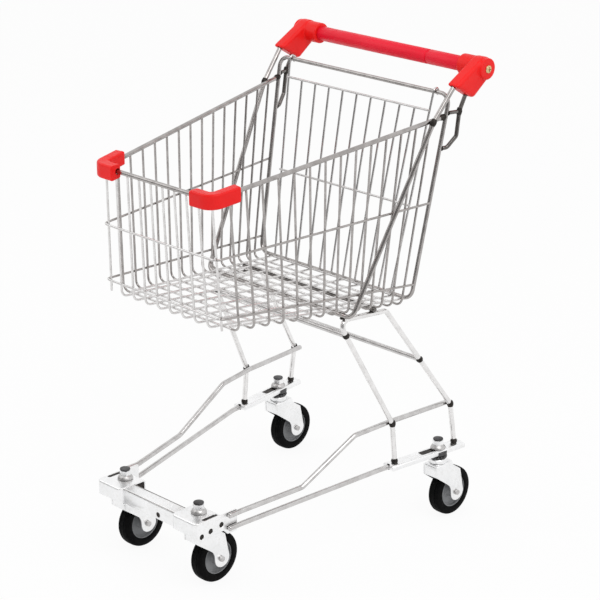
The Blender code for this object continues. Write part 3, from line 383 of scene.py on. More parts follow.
class PaintShop:
    """The finishes' materials, made once, and the dressing of finished pieces."""

    def __init__(self) -> None:
        """Make every finish."""
        self.pots = {finish.name: finish.make() for finish in FINISHES}

    def coat(self, obj: bpy.types.Object, finish: Finish) -> None:
        """Give an object one finish all over."""
        obj.data.materials.clear()
        obj.data.materials.append(self.pots[finish.name])

    def welded(self, rod: bpy.types.Object, finish: Finish,
               welds: list[bpy.types.Object]) -> bpy.types.Object:
        """Coat a rod, leave its weld beads dark, and join them.

        Args:
            rod: Mesh of the rod.
            finish: The rod's finish.
            welds: Meshes of the beads.

        Returns:
            The joined mesh.
        """
        self.coat(rod, finish)
        for weld in welds:
            self.coat(weld, WELD_AND_SHADE)
        return joined(rod, *welds)

    def settle(self, piece: bpy.types.Object, body: str, finish: Finish, *nodes: str) -> None:
        """Dress a finished piece and let it ride in place of its CAD nodes.

        Args:
            piece: The finished mesh object.
            body: Name of the body that it moves with.
            finish: Its finish, unless it has been coated before.
            nodes: CAD nodes that it stands for.
        """
        if not piece.data.materials:
            self.coat(piece, finish)
        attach(piece, body)
        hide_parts(*nodes)
        faces = len(piece.data.polygons)
        LOG.info("%s rides on %s for %s: %d faces", piece.name, body, ", ".join(nodes), faces)

    def settle_pair(self, right: bpy.types.Object, left: bpy.types.Object, finish: Finish,
                    node: str) -> None:
        """Dress a right-hand piece and its mirror image, named for the node without its side."""
        for piece, side in zip((right, left), Side):
            self.settle(piece, FRAME_BODY, finish, f"{node}_{side.label}")


# Modelling

def only(obj: bpy.types.Object) -> None:
    """Select one object and make it active.

    Args:
        obj: The object.
    """
    bpy.ops.object.select_all(action="DESELECT")
    obj.select_set(True)
    bpy.context.view_layer.objects.active = obj


def added(name: str, data: bpy.types.ID) -> bpy.types.Object:
    """Put a new object with its data in the scene.

    Args:
        name: Name of the object.
        data: Its mesh, curve, lamp or camera data.

    Returns:
        The linked object.
    """
    obj = bpy.data.objects.new(name, data)
    bpy.context.scene.collection.objects.link(obj)
    return obj


def applied(obj: bpy.types.Object, kind: str, **settings: object) -> bpy.types.Object:
    """Add a modifier and apply it.

    Args:
        obj: Object to change.
        kind: Type of the modifier.
        settings: Values of the modifier.

    Returns:
        The same object.
    """
    modifier = obj.modifiers.new(kind.lower(), kind)
    for label, value in settings.items():
        setattr(modifier, label, value)
    only(obj)
    bpy.ops.object.modifier_apply(modifier=modifier.name)
    return obj


def smoothed(obj: bpy.types.Object, degrees: float = 38.0) -> bpy.types.Object:
    """Shade an object smooth up to an angle between its faces.

    Args:
        obj: A mesh object.
        degrees: Largest angle that is shaded smooth.

    Returns:
        The same object.
    """
    only(obj)
    bpy.ops.object.shade_smooth_by_angle(angle=math.radians(degrees))
    return obj


def cleaned(obj: bpy.types.Object) -> bpy.types.Object:
    """Merge a mesh's doubles and turn its faces outwards.

    Args:
        obj: A mesh object.

    Returns:
        The same object.
    """
    only(obj)
    bpy.ops.object.mode_set(mode="EDIT")
    bpy.ops.mesh.select_all(action="SELECT")
    bpy.ops.mesh.remove_doubles(threshold=0.000005)
    bpy.ops.mesh.normals_make_consistent(inside=False)
    bpy.ops.object.mode_set(mode="OBJECT")
    return obj


def joined(*pieces: bpy.types.Object) -> bpy.types.Object:
    """Join meshes into the first one.

    Args:
        pieces: Mesh objects.

    Returns:
        The first object, with all the meshes in it.
    """
    only(pieces[0])
    for piece in pieces:
        piece.select_set(True)
    bpy.ops.object.join()
    return pieces[0]


def combined(obj: bpy.types.Object, tool: bpy.types.Object, operation: str) -> bpy.types.Object:
    """Join, cut or intersect a closed mesh with another, which is used up.

    Args:
        obj: Mesh to change.
        tool: Mesh to change it with.
        operation: UNION, DIFFERENCE or INTERSECT.

    Returns:
        The changed mesh.
    """
    applied(obj, "BOOLEAN", operation=operation, solver="EXACT", object=tool)
    bpy.data.objects.remove(tool, do_unlink=True)
    return obj


def softened(obj: bpy.types.Object, width: float, segments: int = 2) -> bpy.types.Object:
    """Round a mesh's sharp edges and shade it smooth.

    Args:
        obj: A mesh object.
        width: Width of the rounding.
        segments: Its segments.

    Returns:
        The same object.
    """
    applied(obj, "BEVEL", width=width, segments=segments, limit_method="ANGLE",
            angle_limit=SHARP, use_clamp_overlap=True)
    return smoothed(obj)


def moulded(obj: bpy.types.Object, voxel: float, rounds: int) -> bpy.types.Object:
    """Melt overlapping shells into one skin with soft edges, as a moulding has.

    Args:
        obj: Mesh of closed shells.
        voxel: Grain of the new skin.
        rounds: Number of smoothing passes.

    Returns:
        The same object.
    """
    applied(obj, "REMESH", mode="VOXEL", voxel_size=voxel, use_smooth_shade=True)
    applied(obj, "SMOOTH", factor=0.5, iterations=rounds)
    only(obj)
    bpy.ops.object.shade_smooth()
    return obj


def copied(obj: bpy.types.Object, name: str, matrix: Matrix) -> bpy.types.Object:
    """Copy a mesh object with its own mesh, moved or mirrored by a matrix.

    Args:
        obj: Object to copy.
        name: Name of the copy.
        matrix: What is done to its mesh.

    Returns:
        The copy.
    """
    mesh = obj.data.copy()
    mesh.transform(matrix)
    if matrix.determinant() < 0:
        mesh.flip_normals()
    return added(name, mesh)


def mirrored(obj: bpy.types.Object, name: str, degrees: float = 180.0) -> bpy.types.Object:
    """Copy a right-hand mesh to the left and shade it smooth up to an angle."""
    return smoothed(copied(obj, name, MIRROR), degrees)


def bent(points: Path, radius: float, steps: int = 8, closed: bool = False) -> Path:
    """Round the corners of a polyline with arcs.

    Args:
        points: Corners of the polyline.
        radius: Radius of the bends.
        steps: Steps of each arc.
        closed: Whether the last point joins the first.

    Returns:
        The rounded path.
    """
    points = [Vector(point) for point in points]
    path = []
    for index, corner in enumerate(points):
        if not closed and index in (0, len(points) - 1):
            path.append(corner)
            continue
        before = (points[index - 1] - corner).normalized()
        after = (points[(index + 1) % len(points)] - corner).normalized()
        half = before.angle(after) / 2
        reach = radius / math.tan(half)
        centre = corner + (before + after).normalized() * (radius / math.sin(half))
        start = corner + before * reach - centre
        end = corner + after * reach - centre
        sweep = math.pi - 2 * half
        for step in range(steps + 1):
            share = step / steps
            ray = start * math.sin((1 - share) * sweep) + end * math.sin(share * sweep)
            path.append(centre + ray / math.sin(sweep))
    return path


def rounded(outline: Outline, radius: float, steps: int = 4) -> Outline:
    """Round the corners of a closed flat outline."""
    path = bent([Vector((a, b, 0)) for a, b in outline], radius, steps, closed=True)
    return [(point.x, point.y) for point in path]


def eased(path: Path, radius: float) -> Run:
    """Give a rod's path deburred ends.

    Args:
        path: Middle line of the rod.
        radius: The rod's radius.

    Returns:
        Points of the path, each with its share of the radius.
    """
    ends = ((0.0, 0.72), (0.14, 0.90), (0.34, 1.0))
    first = (path[1] - path[0]).normalized()
    last = (path[-2] - path[-1]).normalized()
    start = [(path[0] + first * radius * along, share) for along, share in ends]
    finish = [(path[-1] + last * radius * along, share) for along, share in reversed(ends)]
    return start + [(point, 1.0) for point in path[1:-1]] + finish


def braced(run: Run, reach: float, closed: bool) -> Run:
    """Add points near both ends of a rod's long straights, so that its shading stays even there.

    Args:
        run: Points of the rod, each with its share of the radius.
        reach: Distance of the added points from the ends.
        closed: Whether the run is a loop.

    Returns:
        The longer run.
    """
    path = []
    for here, after in zip(run, run[1:] + run[:1]):
        path.append(here)
        step = after[0] - here[0]
        if step.length > 4 * reach and (closed or after is not run[0]):
            ahead = step.normalized() * reach
            path += [(here[0] + ahead, 1.0), (after[0] - ahead, 1.0)]
    return path


def swept(name: str, paths: list[Path], diameter: float, sides: int,
          closed: bool = False) -> bpy.types.Object:
    """Draw round rod along paths and make it a mesh.

    Args:
        name: Name of the piece.
        paths: Middle lines of the rods.
        diameter: Diameter of the rods.
        sides: Sides of their section.
        closed: Whether the paths are loops.

    Returns:
        The mesh object.
    """
    if closed:
        runs = [[(point, 1.0) for point in path] for path in paths]
    else:
        runs = [eased([Vector(point) for point in path], diameter / 2) for path in paths]
    return drawn(name, runs, diameter, sides, closed)


def drawn(name: str, runs: list[Run], diameter: float, sides: int, closed: bool) -> bpy.types.Object:
    """Draw round rod along runs of points with their own radius and make it a mesh.

    Args:
        name: Name of the piece.
        runs: Points of each rod, each with its share of the radius.
        diameter: Diameter of the rods.
        sides: Sides of their section.
        closed: Whether the runs are loops.

    Returns:
        The mesh object.
    """
    curve = bpy.data.curves.new(name, "CURVE")
    curve.dimensions = "3D"
    curve.bevel_depth = diameter / 2
    curve.bevel_resolution = sides // 2 - 2
    curve.use_fill_caps = not closed
    for run in runs:
        run = braced(run, diameter / 2, closed)
        spline = curve.splines.new("POLY")
        spline.points.add(len(run) - 1)
        for point, (place, share) in zip(spline.points, run):
            point.co = (*place, 1.0)
            point.radius = share
        spline.use_cyclic_u = closed
    obj = added(name, curve)
    only(obj)
    bpy.ops.object.convert(target="MESH")
    return smoothed(cleaned(bpy.context.object), degrees=50.0)


def weld_ring(centre: Vector, axis: Vector, radius: float, bead: float) -> bpy.types.Object:
    """Lay a rippled weld bead round a rod.

    Args:
        centre: Middle of the bead's ring.
        axis: Direction of the rod.
        radius: Radius of the ring.
        bead: Thickness of the bead.

    Returns:
        The mesh object.
    """
    ripples, steps, swell = 9, 36, 0.22
    across = axis.orthogonal().normalized()
    other = axis.normalized().cross(across)
    run = []
    for step in range(steps):
        angle = math.tau * step / steps
        spot = centre + (across * math.cos(angle) + other * math.sin(angle)) * radius
        run.append((spot, 1 + swell * math.sin(ripples * angle)))
    return drawn("weld", [run], bead, sides=8, closed=True)


def weld_seam(start: Vector, end: Vector, bead: float) -> bpy.types.Object:
    """Lay a rippled weld bead along a line.

    Args:
        start: One end of the bead.
        end: Its other end.
        bead: Thickness of the bead.

    Returns:
        The mesh object.
    """
    pitch, swell, tip, growth = bead * 0.5, 0.16, 0.3, 4
    steps = max(6, round((end - start).length / pitch))
    run = []
    for step in range(steps + 1):
        share = step / steps
        taper = min(1.0, tip + growth * share, tip + growth * (1 - share))
        run.append((start.lerp(end, share), taper * (1 + swell * (-1) ** step)))
    return drawn("weld", [run], bead, sides=8, closed=False)


def weld_collar(centre: Vector, axis: Vector, length: float, width: float) -> bpy.types.Object:
    """Build up a rippled lump of weld round a rod.

    Args:
        centre: Middle of the lump.
        axis: Direction of the rod.
        length: Length of the lump along the rod.
        width: Its width in the middle.

    Returns:
        The mesh object.
    """
    steps, slim, ripple = 12, 0.74, 0.03
    half = axis.normalized() * (length / 2)
    run = []
    for step in range(steps + 1):
        share = step / steps
        size = between(slim, 1.0, math.sin(math.pi * share)) * (1 + ripple * (-1) ** step)
        run.append(((centre - half).lerp(centre + half, share), size))
    return drawn("weld", [run], width, sides=16, closed=False)


def turned(name: str, profile: Outline, axis: Vector, centre: Vector, steps: int) -> bpy.types.Object:
    """Spin a closed profile about an axis.

    Args:
        name: Name of the piece.
        profile: Closed outline of (along the axis, radius) points.
        axis: Direction of the axis.
        centre: Point on the axis where the profile's zero is.
        steps: Steps of the spin.

    Returns:
        The mesh object.
    """
    out = axis.orthogonal().normalized()
    verts = [centre + axis * along + out * radius for along, radius in profile]
    edges = [(index, (index + 1) % len(profile)) for index in range(len(profile))]
    mesh = bpy.data.meshes.new(name)
    mesh.from_pydata(verts, edges, [])
    obj = added(name, mesh)
    only(obj)
    bpy.ops.object.mode_set(mode="EDIT")
    bpy.ops.mesh.select_all(action="SELECT")
    bpy.ops.mesh.spin(steps=steps, angle=math.tau, center=centre, axis=axis)
    bpy.ops.object.mode_set(mode="OBJECT")
    return smoothed(cleaned(obj))


def prism(name: str, outline: Outline, axis: Vector, low: float, high: float) -> bpy.types.Object:
    """Extrude a flat outline along X, Y or Z.

    Args:
        name: Name of the piece.
        outline: Closed outline: (y, z) along X, (x, z) along Y or (x, y) along Z.
        axis: Direction of the extrusion.
        low: Where it starts on the axis.
        high: Where it ends.

    Returns:
        The mesh object.
    """
    if axis == X_AXIS:
        verts = [Vector((low, a, b)) for a, b in outline]
    elif axis == Y_AXIS:
        verts = [Vector((a, low, b)) for a, b in outline]
    else:
        verts = [Vector((a, b, low)) for a, b in outline]
    mesh = bpy.data.meshes.new(name)
    mesh.from_pydata(verts, [], [tuple(range(len(verts)))])
    obj = added(name, mesh)
    only(obj)
    bpy.ops.object.mode_set(mode="EDIT")
    bpy.ops.mesh.select_all(action="SELECT")
    bpy.ops.mesh.extrude_region_move(TRANSFORM_OT_translate={"value": axis * (high - low)})
    bpy.ops.object.mode_set(mode="OBJECT")
    return cleaned(obj)


def folded(width: float, flange: float, sheet: float, fold: float) -> Outline:
    """Outline of an upside-down U of folded sheet, its top face at zero height.

    Args:
        width: Width over the flanges.
        flange: Height of the flanges.
        sheet: Thickness of the sheet.
        fold: Outside radius of the folds.

    Returns:
        The closed outline.
    """
    half, steps = width / 2, 5
    inner = half - sheet
    outside = [Vector((-half, -flange, 0)), Vector((-half, 0, 0)), Vector((half, 0, 0)),
               Vector((half, -flange, 0))]
    inside = [Vector((inner, -flange, 0)), Vector((inner, -sheet, 0)), Vector((-inner, -sheet, 0)),
              Vector((-inner, -flange, 0))]
    path = bent(outside, fold, steps) + bent(inside, max(fold - sheet, sheet / 4), steps)
    return [(point.x, point.y) for point in path]


def boxed(x: float, y: float, wide: float, long: float) -> Outline:
    """Outline of a flat rectangle from its middle and its half sizes."""
    return [(x - wide, y - long), (x + wide, y - long), (x + wide, y + long), (x - wide, y + long)]


def hexagon(name: str, across: float, axis: Vector, centre: Vector, thickness: float) -> bpy.types.Object:
    """Make a hexagon nut or bolt head with chamfered corners on its outer face.

    Args:
        name: Name of the piece.
        across: Width across the flats.
        axis: Direction from the seat to the outer face.
        centre: Middle of the seat.
        thickness: Height of the nut.

    Returns:
        The mesh object.
    """
    corner, face, slope = across / math.sqrt(3), 0.94, 0.6
    rim = across / 2 * face
    chamfer = thickness - (corner - rim) * slope
    bpy.ops.object.select_all(action="DESELECT")
    bpy.ops.mesh.primitive_cylinder_add(vertices=6, radius=corner, depth=thickness)
    nut = bpy.context.object
    nut.name = name
    turn = axis.to_track_quat("Z", "Y").to_matrix().to_4x4()
    nut.data.transform(Matrix.Translation(centre + axis * thickness / 2) @ turn)
    past, wide = corner * 1.1, corner * 1.02
    profile = [(-thickness, 0), (-thickness, past), (chamfer, wide), (thickness, rim), (thickness, 0)]
    nut = combined(nut, turned("chamfer", profile, axis, centre, steps=48), "INTERSECT")
    return smoothed(cleaned(nut), degrees=25.0)


def between(low: float, high: float, share: float) -> float:
    """Blend two numbers."""
    return low + (high - low) * share


# Basket

@dataclass
class Basket:
    """Welded wire basket with its rim, rear hoop and the two rods under its floor."""

    shop: PaintShop
    wire_d: float = 0.0044
    rim_d: float = 0.0086
    hoop_d: float = 0.008
    strut_d: float = 0.009
    rim_front_y: float = -0.2905
    rim_front_z: float = 0.757
    rim_rear_z: float = 0.822
    rim_front_half: float = 0.1445
    rim_rear_half: float = 0.221
    floor_front_y: float = -0.2805
    floor_front_z: float = 0.510
    floor_rear_z: float = 0.466
    floor_front_half: float = 0.154
    floor_rear_half: float = 0.204
    floor_overhang: float = 0.009
    corner_r: float = 0.013
    corner_steps: int = 8
    fold: float = 0.020
    fold_r: float = 0.014
    layer: float = 0.0016
    level_out: float = 0.85
    sink: float = 0.3
    rest: float = 0.75
    corner_stop: float = 0.004
    front_bays: int = 9
    side_bays: int = 15
    side_shift: float = 0.215
    levels: Pair = (0.11, 0.555)
    hoop_top_y: float = 0.238
    hoop_top_z: float = 0.862
    hoop_bottom_y: float = 0.161
    hoop_bottom_z: float = 0.4736
    hoop_top_half: float = 0.224
    hoop_bottom_half: float = 0.205
    hoop_bend: float = 0.020
    strut_bay: int = 9
    strut_rim_y: float = 0.193
    strut_head: Triple = (0.230, 0.248, 0.884)
    strut_in: float = 0.0075
    strut_bend: float = 0.016
    cross_rod_bay: int = 12
    cross_rod_half: float = 0.181
    wire_sides: int = 12
    rod_sides: int = 24
    bead: float = 0.0022
    lump: float = 0.014
    rim_lump: float = 1.4
    strut_lump: float = 1.35

    @property
    def lean(self) -> float:
        """Slope of the rear hoop, in Y over Z."""
        return (self.hoop_top_y - self.hoop_bottom_y) / (self.hoop_top_z - self.hoop_bottom_z)

    @property
    def under_floor(self) -> float:
        """Depth below the floor's plane of the rods' tops."""
        return self.rest * self.wire_d + GAP

    def floor_share(self, y: float) -> float:
        """Share of the floor's length at a station."""
        return (y - self.floor_front_y) / (self.hoop_bottom_y - self.floor_front_y)

    def floor_z(self, y: float) -> float:
        """Height of the floor's plane at a station."""
        return between(self.floor_front_z, self.floor_rear_z, self.floor_share(y))

    def floor_half(self, y: float) -> float:
        """Half width of the floor at a station."""
        return between(self.floor_front_half, self.floor_rear_half, self.floor_share(y))

    def hoop_y(self, z: float) -> float:
        """Station of the rear hoop at a height."""
        return self.hoop_bottom_y + (z - self.hoop_bottom_z) * self.lean

    def hoop_half(self, z: float) -> float:
        """Half width of the rear hoop at a height."""
        share = (z - self.hoop_bottom_z) / (self.hoop_top_z - self.hoop_bottom_z)
        return between(self.hoop_bottom_half, self.hoop_top_half, share)

    def hoop_spot(self, z: float) -> Vector:
        """Point on the right-hand bar of the hoop at a height."""
        return Vector((self.hoop_half(z), self.hoop_y(z), z))

    @property
    def rim_rear_y(self) -> float:
        """Station where the rim meets the hoop."""
        return self.hoop_y(self.rim_rear_z)

    def rim_share(self, y: float) -> float:
        """Share of the rim's length at a station."""
        return (y - self.rim_front_y) / (self.rim_rear_y - self.rim_front_y)

    def rim_z(self, y: float) -> float:
        """Height of the rim at a station."""
        return between(self.rim_front_z, self.rim_rear_z, self.rim_share(y))

    def rim_half(self, y: float) -> float:
        """Half width of the rim at a station."""
        return between(self.rim_front_half, self.rim_rear_half, self.rim_share(y))

    def ring(self, level: float, inset: float) -> Path:
        """Follow the basket's wall from the rear right round the front to the rear left.

        Args:
            level: Height, from 0 at the floor to 1 at the rim.
            inset: Distance inside the wall.

        Returns:
            The path, with an arc round each front corner.
        """
        front_y = between(self.floor_front_y, self.rim_front_y, level) + inset
        rear_y = self.hoop_y(between(self.floor_rear_z, self.rim_rear_z, level)) - self.hoop_d * self.sink
        corners = []
        for sign, y in ((1, rear_y), (1, front_y), (-1, front_y), (-1, rear_y)):
            half = between(self.floor_half(y), self.rim_half(y), level) - inset
            corners.append(Vector((sign * half, y, between(self.floor_z(y), self.rim_z(y), level))))
        return bent(corners, self.corner_r, self.corner_steps)

    @property
    def corner_middle(self) -> int:
        """Number of the ring's point in the middle of the right-hand corner's arc."""
        return 1 + self.corner_steps // 2

    def corner_points(self) -> tuple[Vector, Vector]:
        """Top and foot of the right-hand corner wire, in the middle of the corner's arc."""
        return self.ring(1.0, 0.0)[self.corner_middle], self.ring(0.0, 0.0)[self.corner_middle]

    def level_ring(self, level: float) -> Path:
        """Follow the basket's wall with a level wire, just outside its uprights."""
        return self.ring(level, -self.level_out * self.wire_d)

    def side_station(self, bay: int) -> Pair:
        """Top and bottom stations of a side wire, which lean more towards the rear.

        Args:
            bay: Number of the wire, counted from the front.

        Returns:
            The stations along the cart of its top and of its bottom.
        """
        top, foot = self.corner_points()
        share = bay / self.side_bays
        low_share = share + self.side_shift * share * (1 - share)
        return between(top.y, self.rim_rear_y, share), between(foot.y, self.hoop_bottom_y, low_share)

    def front_shares(self) -> list[float]:
        """Places of the front wires between the corner wires, from -1 to 1."""
        return [2 * bay / self.front_bays - 1 for bay in range(1, self.front_bays)]

    def panel(self, name: str, wires: list[Path], finish: Finish, node: str) -> None:
        """Weld crossing wires into one panel that stands for a node."""
        self.shop.settle(swept(name, wires, self.wire_d, self.wire_sides), FRAME_BODY, finish, node)

    def front(self) -> None:
        """Front panel: wires that fold in under the floor, and level wires outside them."""
        top, foot = self.corner_points()
        corner = [top, foot + Z_AXIS * self.corner_stop]
        uprights = [side.path(corner) for side in Side]
        fold_y = self.floor_front_y + self.fold
        for share in self.front_shares():
            corners = [
                (share * top.x, self.rim_front_y, self.rim_front_z - self.rim_d * self.sink),
                (share * foot.x, self.floor_front_y, self.floor_z(self.floor_front_y) + self.layer),
                (share * foot.x, fold_y, self.floor_z(fold_y) + self.layer),
            ]
            uprights.append(bent(corners, self.fold_r))
        middle = self.corner_middle
        levels = [self.level_ring(level)[middle:-middle] for level in self.levels]
        self.panel("front_wires", uprights + levels, LIT_CHROME, "basket_front")

    def side(self, side: Side) -> None:
        """Side panel: leaning wires that fold in under the floor, and level wires outside them.

        Args:
            side: Which side of the cart.
        """
        uprights = []
        for bay in range(1, self.side_bays):
            top, low = self.side_station(bay)
            z = self.floor_z(low) - self.layer
            corners = [
                Vector((self.rim_half(top), top, self.rim_z(top) - self.rim_d * self.sink)),
                Vector((self.floor_half(low), low, z)),
                Vector((self.floor_half(low) - self.fold, low, z)),
            ]
            uprights.append(side.path(bent(corners, self.fold_r)))
        last = self.corner_middle + 1
        levels = [side.path(self.level_ring(level)[:last]) for level in self.levels]
        self.panel(f"side_wires_{side.label}", uprights + levels, SHADED_CHROME, f"basket_side_{side.label}")

    def floor(self) -> None:
        """Floor grid: cross wires that go on from the side wires, and long wires from the front wires."""
        cross = []
        for bay in range(1, self.side_bays):
            low = self.side_station(bay)[1]
            half = self.floor_half(low) - self.fold
            z = self.floor_z(low) - self.layer
            cross.append([Vector((half, low, z)), Vector((-half, low, z))])
        foot = self.corner_points()[1]
        front_y, rear_y = self.floor_front_y + self.fold, self.hoop_bottom_y + self.floor_overhang
        spread = self.floor_half(rear_y) / self.floor_half(front_y)
        long_wires = []
        for share in self.front_shares():
            ends = []
            for y, wide in ((front_y, 1.0), (rear_y, spread)):
                ends.append(Vector((share * foot.x * wide, y, self.floor_z(y) + self.layer)))
            long_wires.append(ends)
        for side in Side:
            ends = []
            for y in (self.side_station(1)[1], rear_y):
                half = self.floor_half(y) - self.fold - self.wire_d
                ends.append(side.place(Vector((half, y, self.floor_z(y) + self.layer))))
            long_wires.append(ends)
        self.panel("floor_wires", cross + long_wires, LIT_CHROME, "basket_floor")

    def rim(self) -> None:
        """Rim rod round the sides and the front, welded to the hoop at both ends."""
        path = self.ring(1.0, 0.0)
        rod = swept("rim_rod", [path], self.rim_d, self.rod_sides)
        welds = []
        for end, before in ((path[0], path[1]), (path[-1], path[-2])):
            along = (before - end).normalized()
            spot, width = end + along * self.hoop_d / 2, self.rim_d * self.rim_lump
            welds.append(weld_collar(spot, along, self.lump, width))
        self.shop.settle(self.shop.welded(rod, SHADED_CHROME, welds), FRAME_BODY, SHADED_CHROME, "basket_rim")

    def hoop(self) -> None:
        """Closed rear hoop whose top bar is the gate's hinge."""
        top = Vector((self.hoop_top_half, self.hoop_top_y, self.hoop_top_z))
        low = Vector((self.hoop_bottom_half, self.hoop_bottom_y, self.hoop_bottom_z))
        corners = [low, top, Side.LEFT.place(top), Side.LEFT.place(low)]
        path = bent(corners, self.hoop_bend, steps=10, closed=True)
        rod = swept("rear_hoop_rod", [path], self.hoop_d, self.rod_sides, closed=True)
        self.shop.settle(rod, FRAME_BODY, SHADED_CHROME, "rear_hoop")

    def strut_points(self) -> Path:
        """Right-hand half of the handle strut: head, crossing of the rim and foot under the floor.

        Returns:
            The three points, from the top.
        """
        foot_y = self.side_station(self.strut_bay)[1]
        radius = self.strut_d / 2
        foot = Vector((
            self.floor_half(foot_y) + self.wire_d + 2 * GAP + radius,
            foot_y,
            self.floor_z(foot_y) - self.under_floor - radius,
        ))
        y = self.strut_rim_y
        at_rim = Vector((self.rim_half(y) + self.rim_d / 2 + radius + GAP, y, self.rim_z(y)))
        return [Vector(self.strut_head), at_rim, foot]

    def strut(self) -> None:
        """Sloping bars up to the handle, joined by a bar under the floor and welded to the rim."""
        right = self.strut_points()
        right[0] += (right[1] - right[0]).normalized() * self.strut_in
        corners = right + Side.LEFT.path(right[::-1])
        rod = swept("handle_strut_rod", [bent(corners, self.strut_bend)], self.strut_d, self.rod_sides)
        along, width = right[1] - right[2], self.strut_d * self.strut_lump
        welds = []
        for side in Side:
            welds.append(weld_collar(side.place(right[1]), side.place(along), self.lump, width))
        self.shop.settle(self.shop.welded(rod, SHADED_CHROME, welds), FRAME_BODY, SHADED_CHROME, "handle_strut")

    def cross_rod(self) -> None:
        """Second rod under the floor, which rests on the legs."""
        y = self.side_station(self.cross_rod_bay)[1]
        z = self.floor_z(y) - self.under_floor - self.strut_d / 2
        end = Vector((self.cross_rod_half, y, z))
        rod = swept("floor_rod", [[end, Side.LEFT.place(end)]], self.strut_d, self.rod_sides)
        self.shop.settle(rod, FRAME_BODY, DARK_REFLECTION_CHROME, "floor_cross_rod")

    def build(self) -> None:
        """Build every piece of the basket."""
        self.front()
        for side in Side:
            self.side(side)
        self.floor()
        self.rim()
        self.hoop()
        self.strut()
        self.cross_rod()


# Rear gate

@dataclass
class RearGate:
    """Wire gate hooked over the hoop's top bar."""

    shop: PaintShop
    basket: Basket
    gap: float = 0.0006
    top: float = 0.036
    middle: float = 0.220
    top_half: float = 0.187
    bottom_half: float = 0.158
    level_out: float = 0.8
    bays: int = 10
    hook_turn: float = math.radians(230.0)
    hook_steps: int = 18

    def build(self) -> None:
        """Build the gate: uprights behind, level wires ahead of them, and a hook on each outer wire."""
        basket = self.basket
        scale = math.hypot(1.0, basket.lean)
        down = Vector((0, -basket.lean, -1)) / scale
        ahead = Vector((0, -1, basket.lean)) / scale
        hinge = Vector((0, basket.hoop_top_y, basket.hoop_top_z))
        offset = (basket.hoop_d + basket.wire_d) / 2 + self.gap
        bottom = (basket.hoop_top_z - basket.hoop_bottom_z) * scale

        def half(drop: float) -> float:
            """Half width of the gate at a distance down from the hinge."""
            return between(self.top_half, self.bottom_half, (drop - self.top) / (bottom - self.top))

        def spot(share: float, drop: float, out: float) -> Vector:
            """Point of the gate at a share of its width."""
            return hinge + X_AXIS * (share * half(drop)) + down * drop + ahead * out

        uprights = []
        for bay in range(1, self.bays):
            share = 2 * bay / self.bays - 1
            uprights.append([spot(share, drop, offset) for drop in (self.top, bottom)])
        for side in Side:
            path = [spot(side.value, bottom, offset)]
            eye = hinge + X_AXIS * (side.value * half(0))
            for step in range(self.hook_steps + 1):
                turn = self.hook_turn * step / self.hook_steps
                path.append(eye + (ahead * math.cos(turn) - down * math.sin(turn)) * offset)
            uprights.append(path)
        levels = []
        for drop in (self.top, self.middle, bottom):
            past = Vector((basket.wire_d / 2, 0, 0))
            out = offset + basket.wire_d * self.level_out
            levels.append([spot(1, drop, out) + past, spot(-1, drop, out) - past])
        piece = swept("gate_wires", uprights + levels, basket.wire_d, basket.wire_sides)
        self.shop.settle(piece, "gate", CHROME, "gate")


# Handle

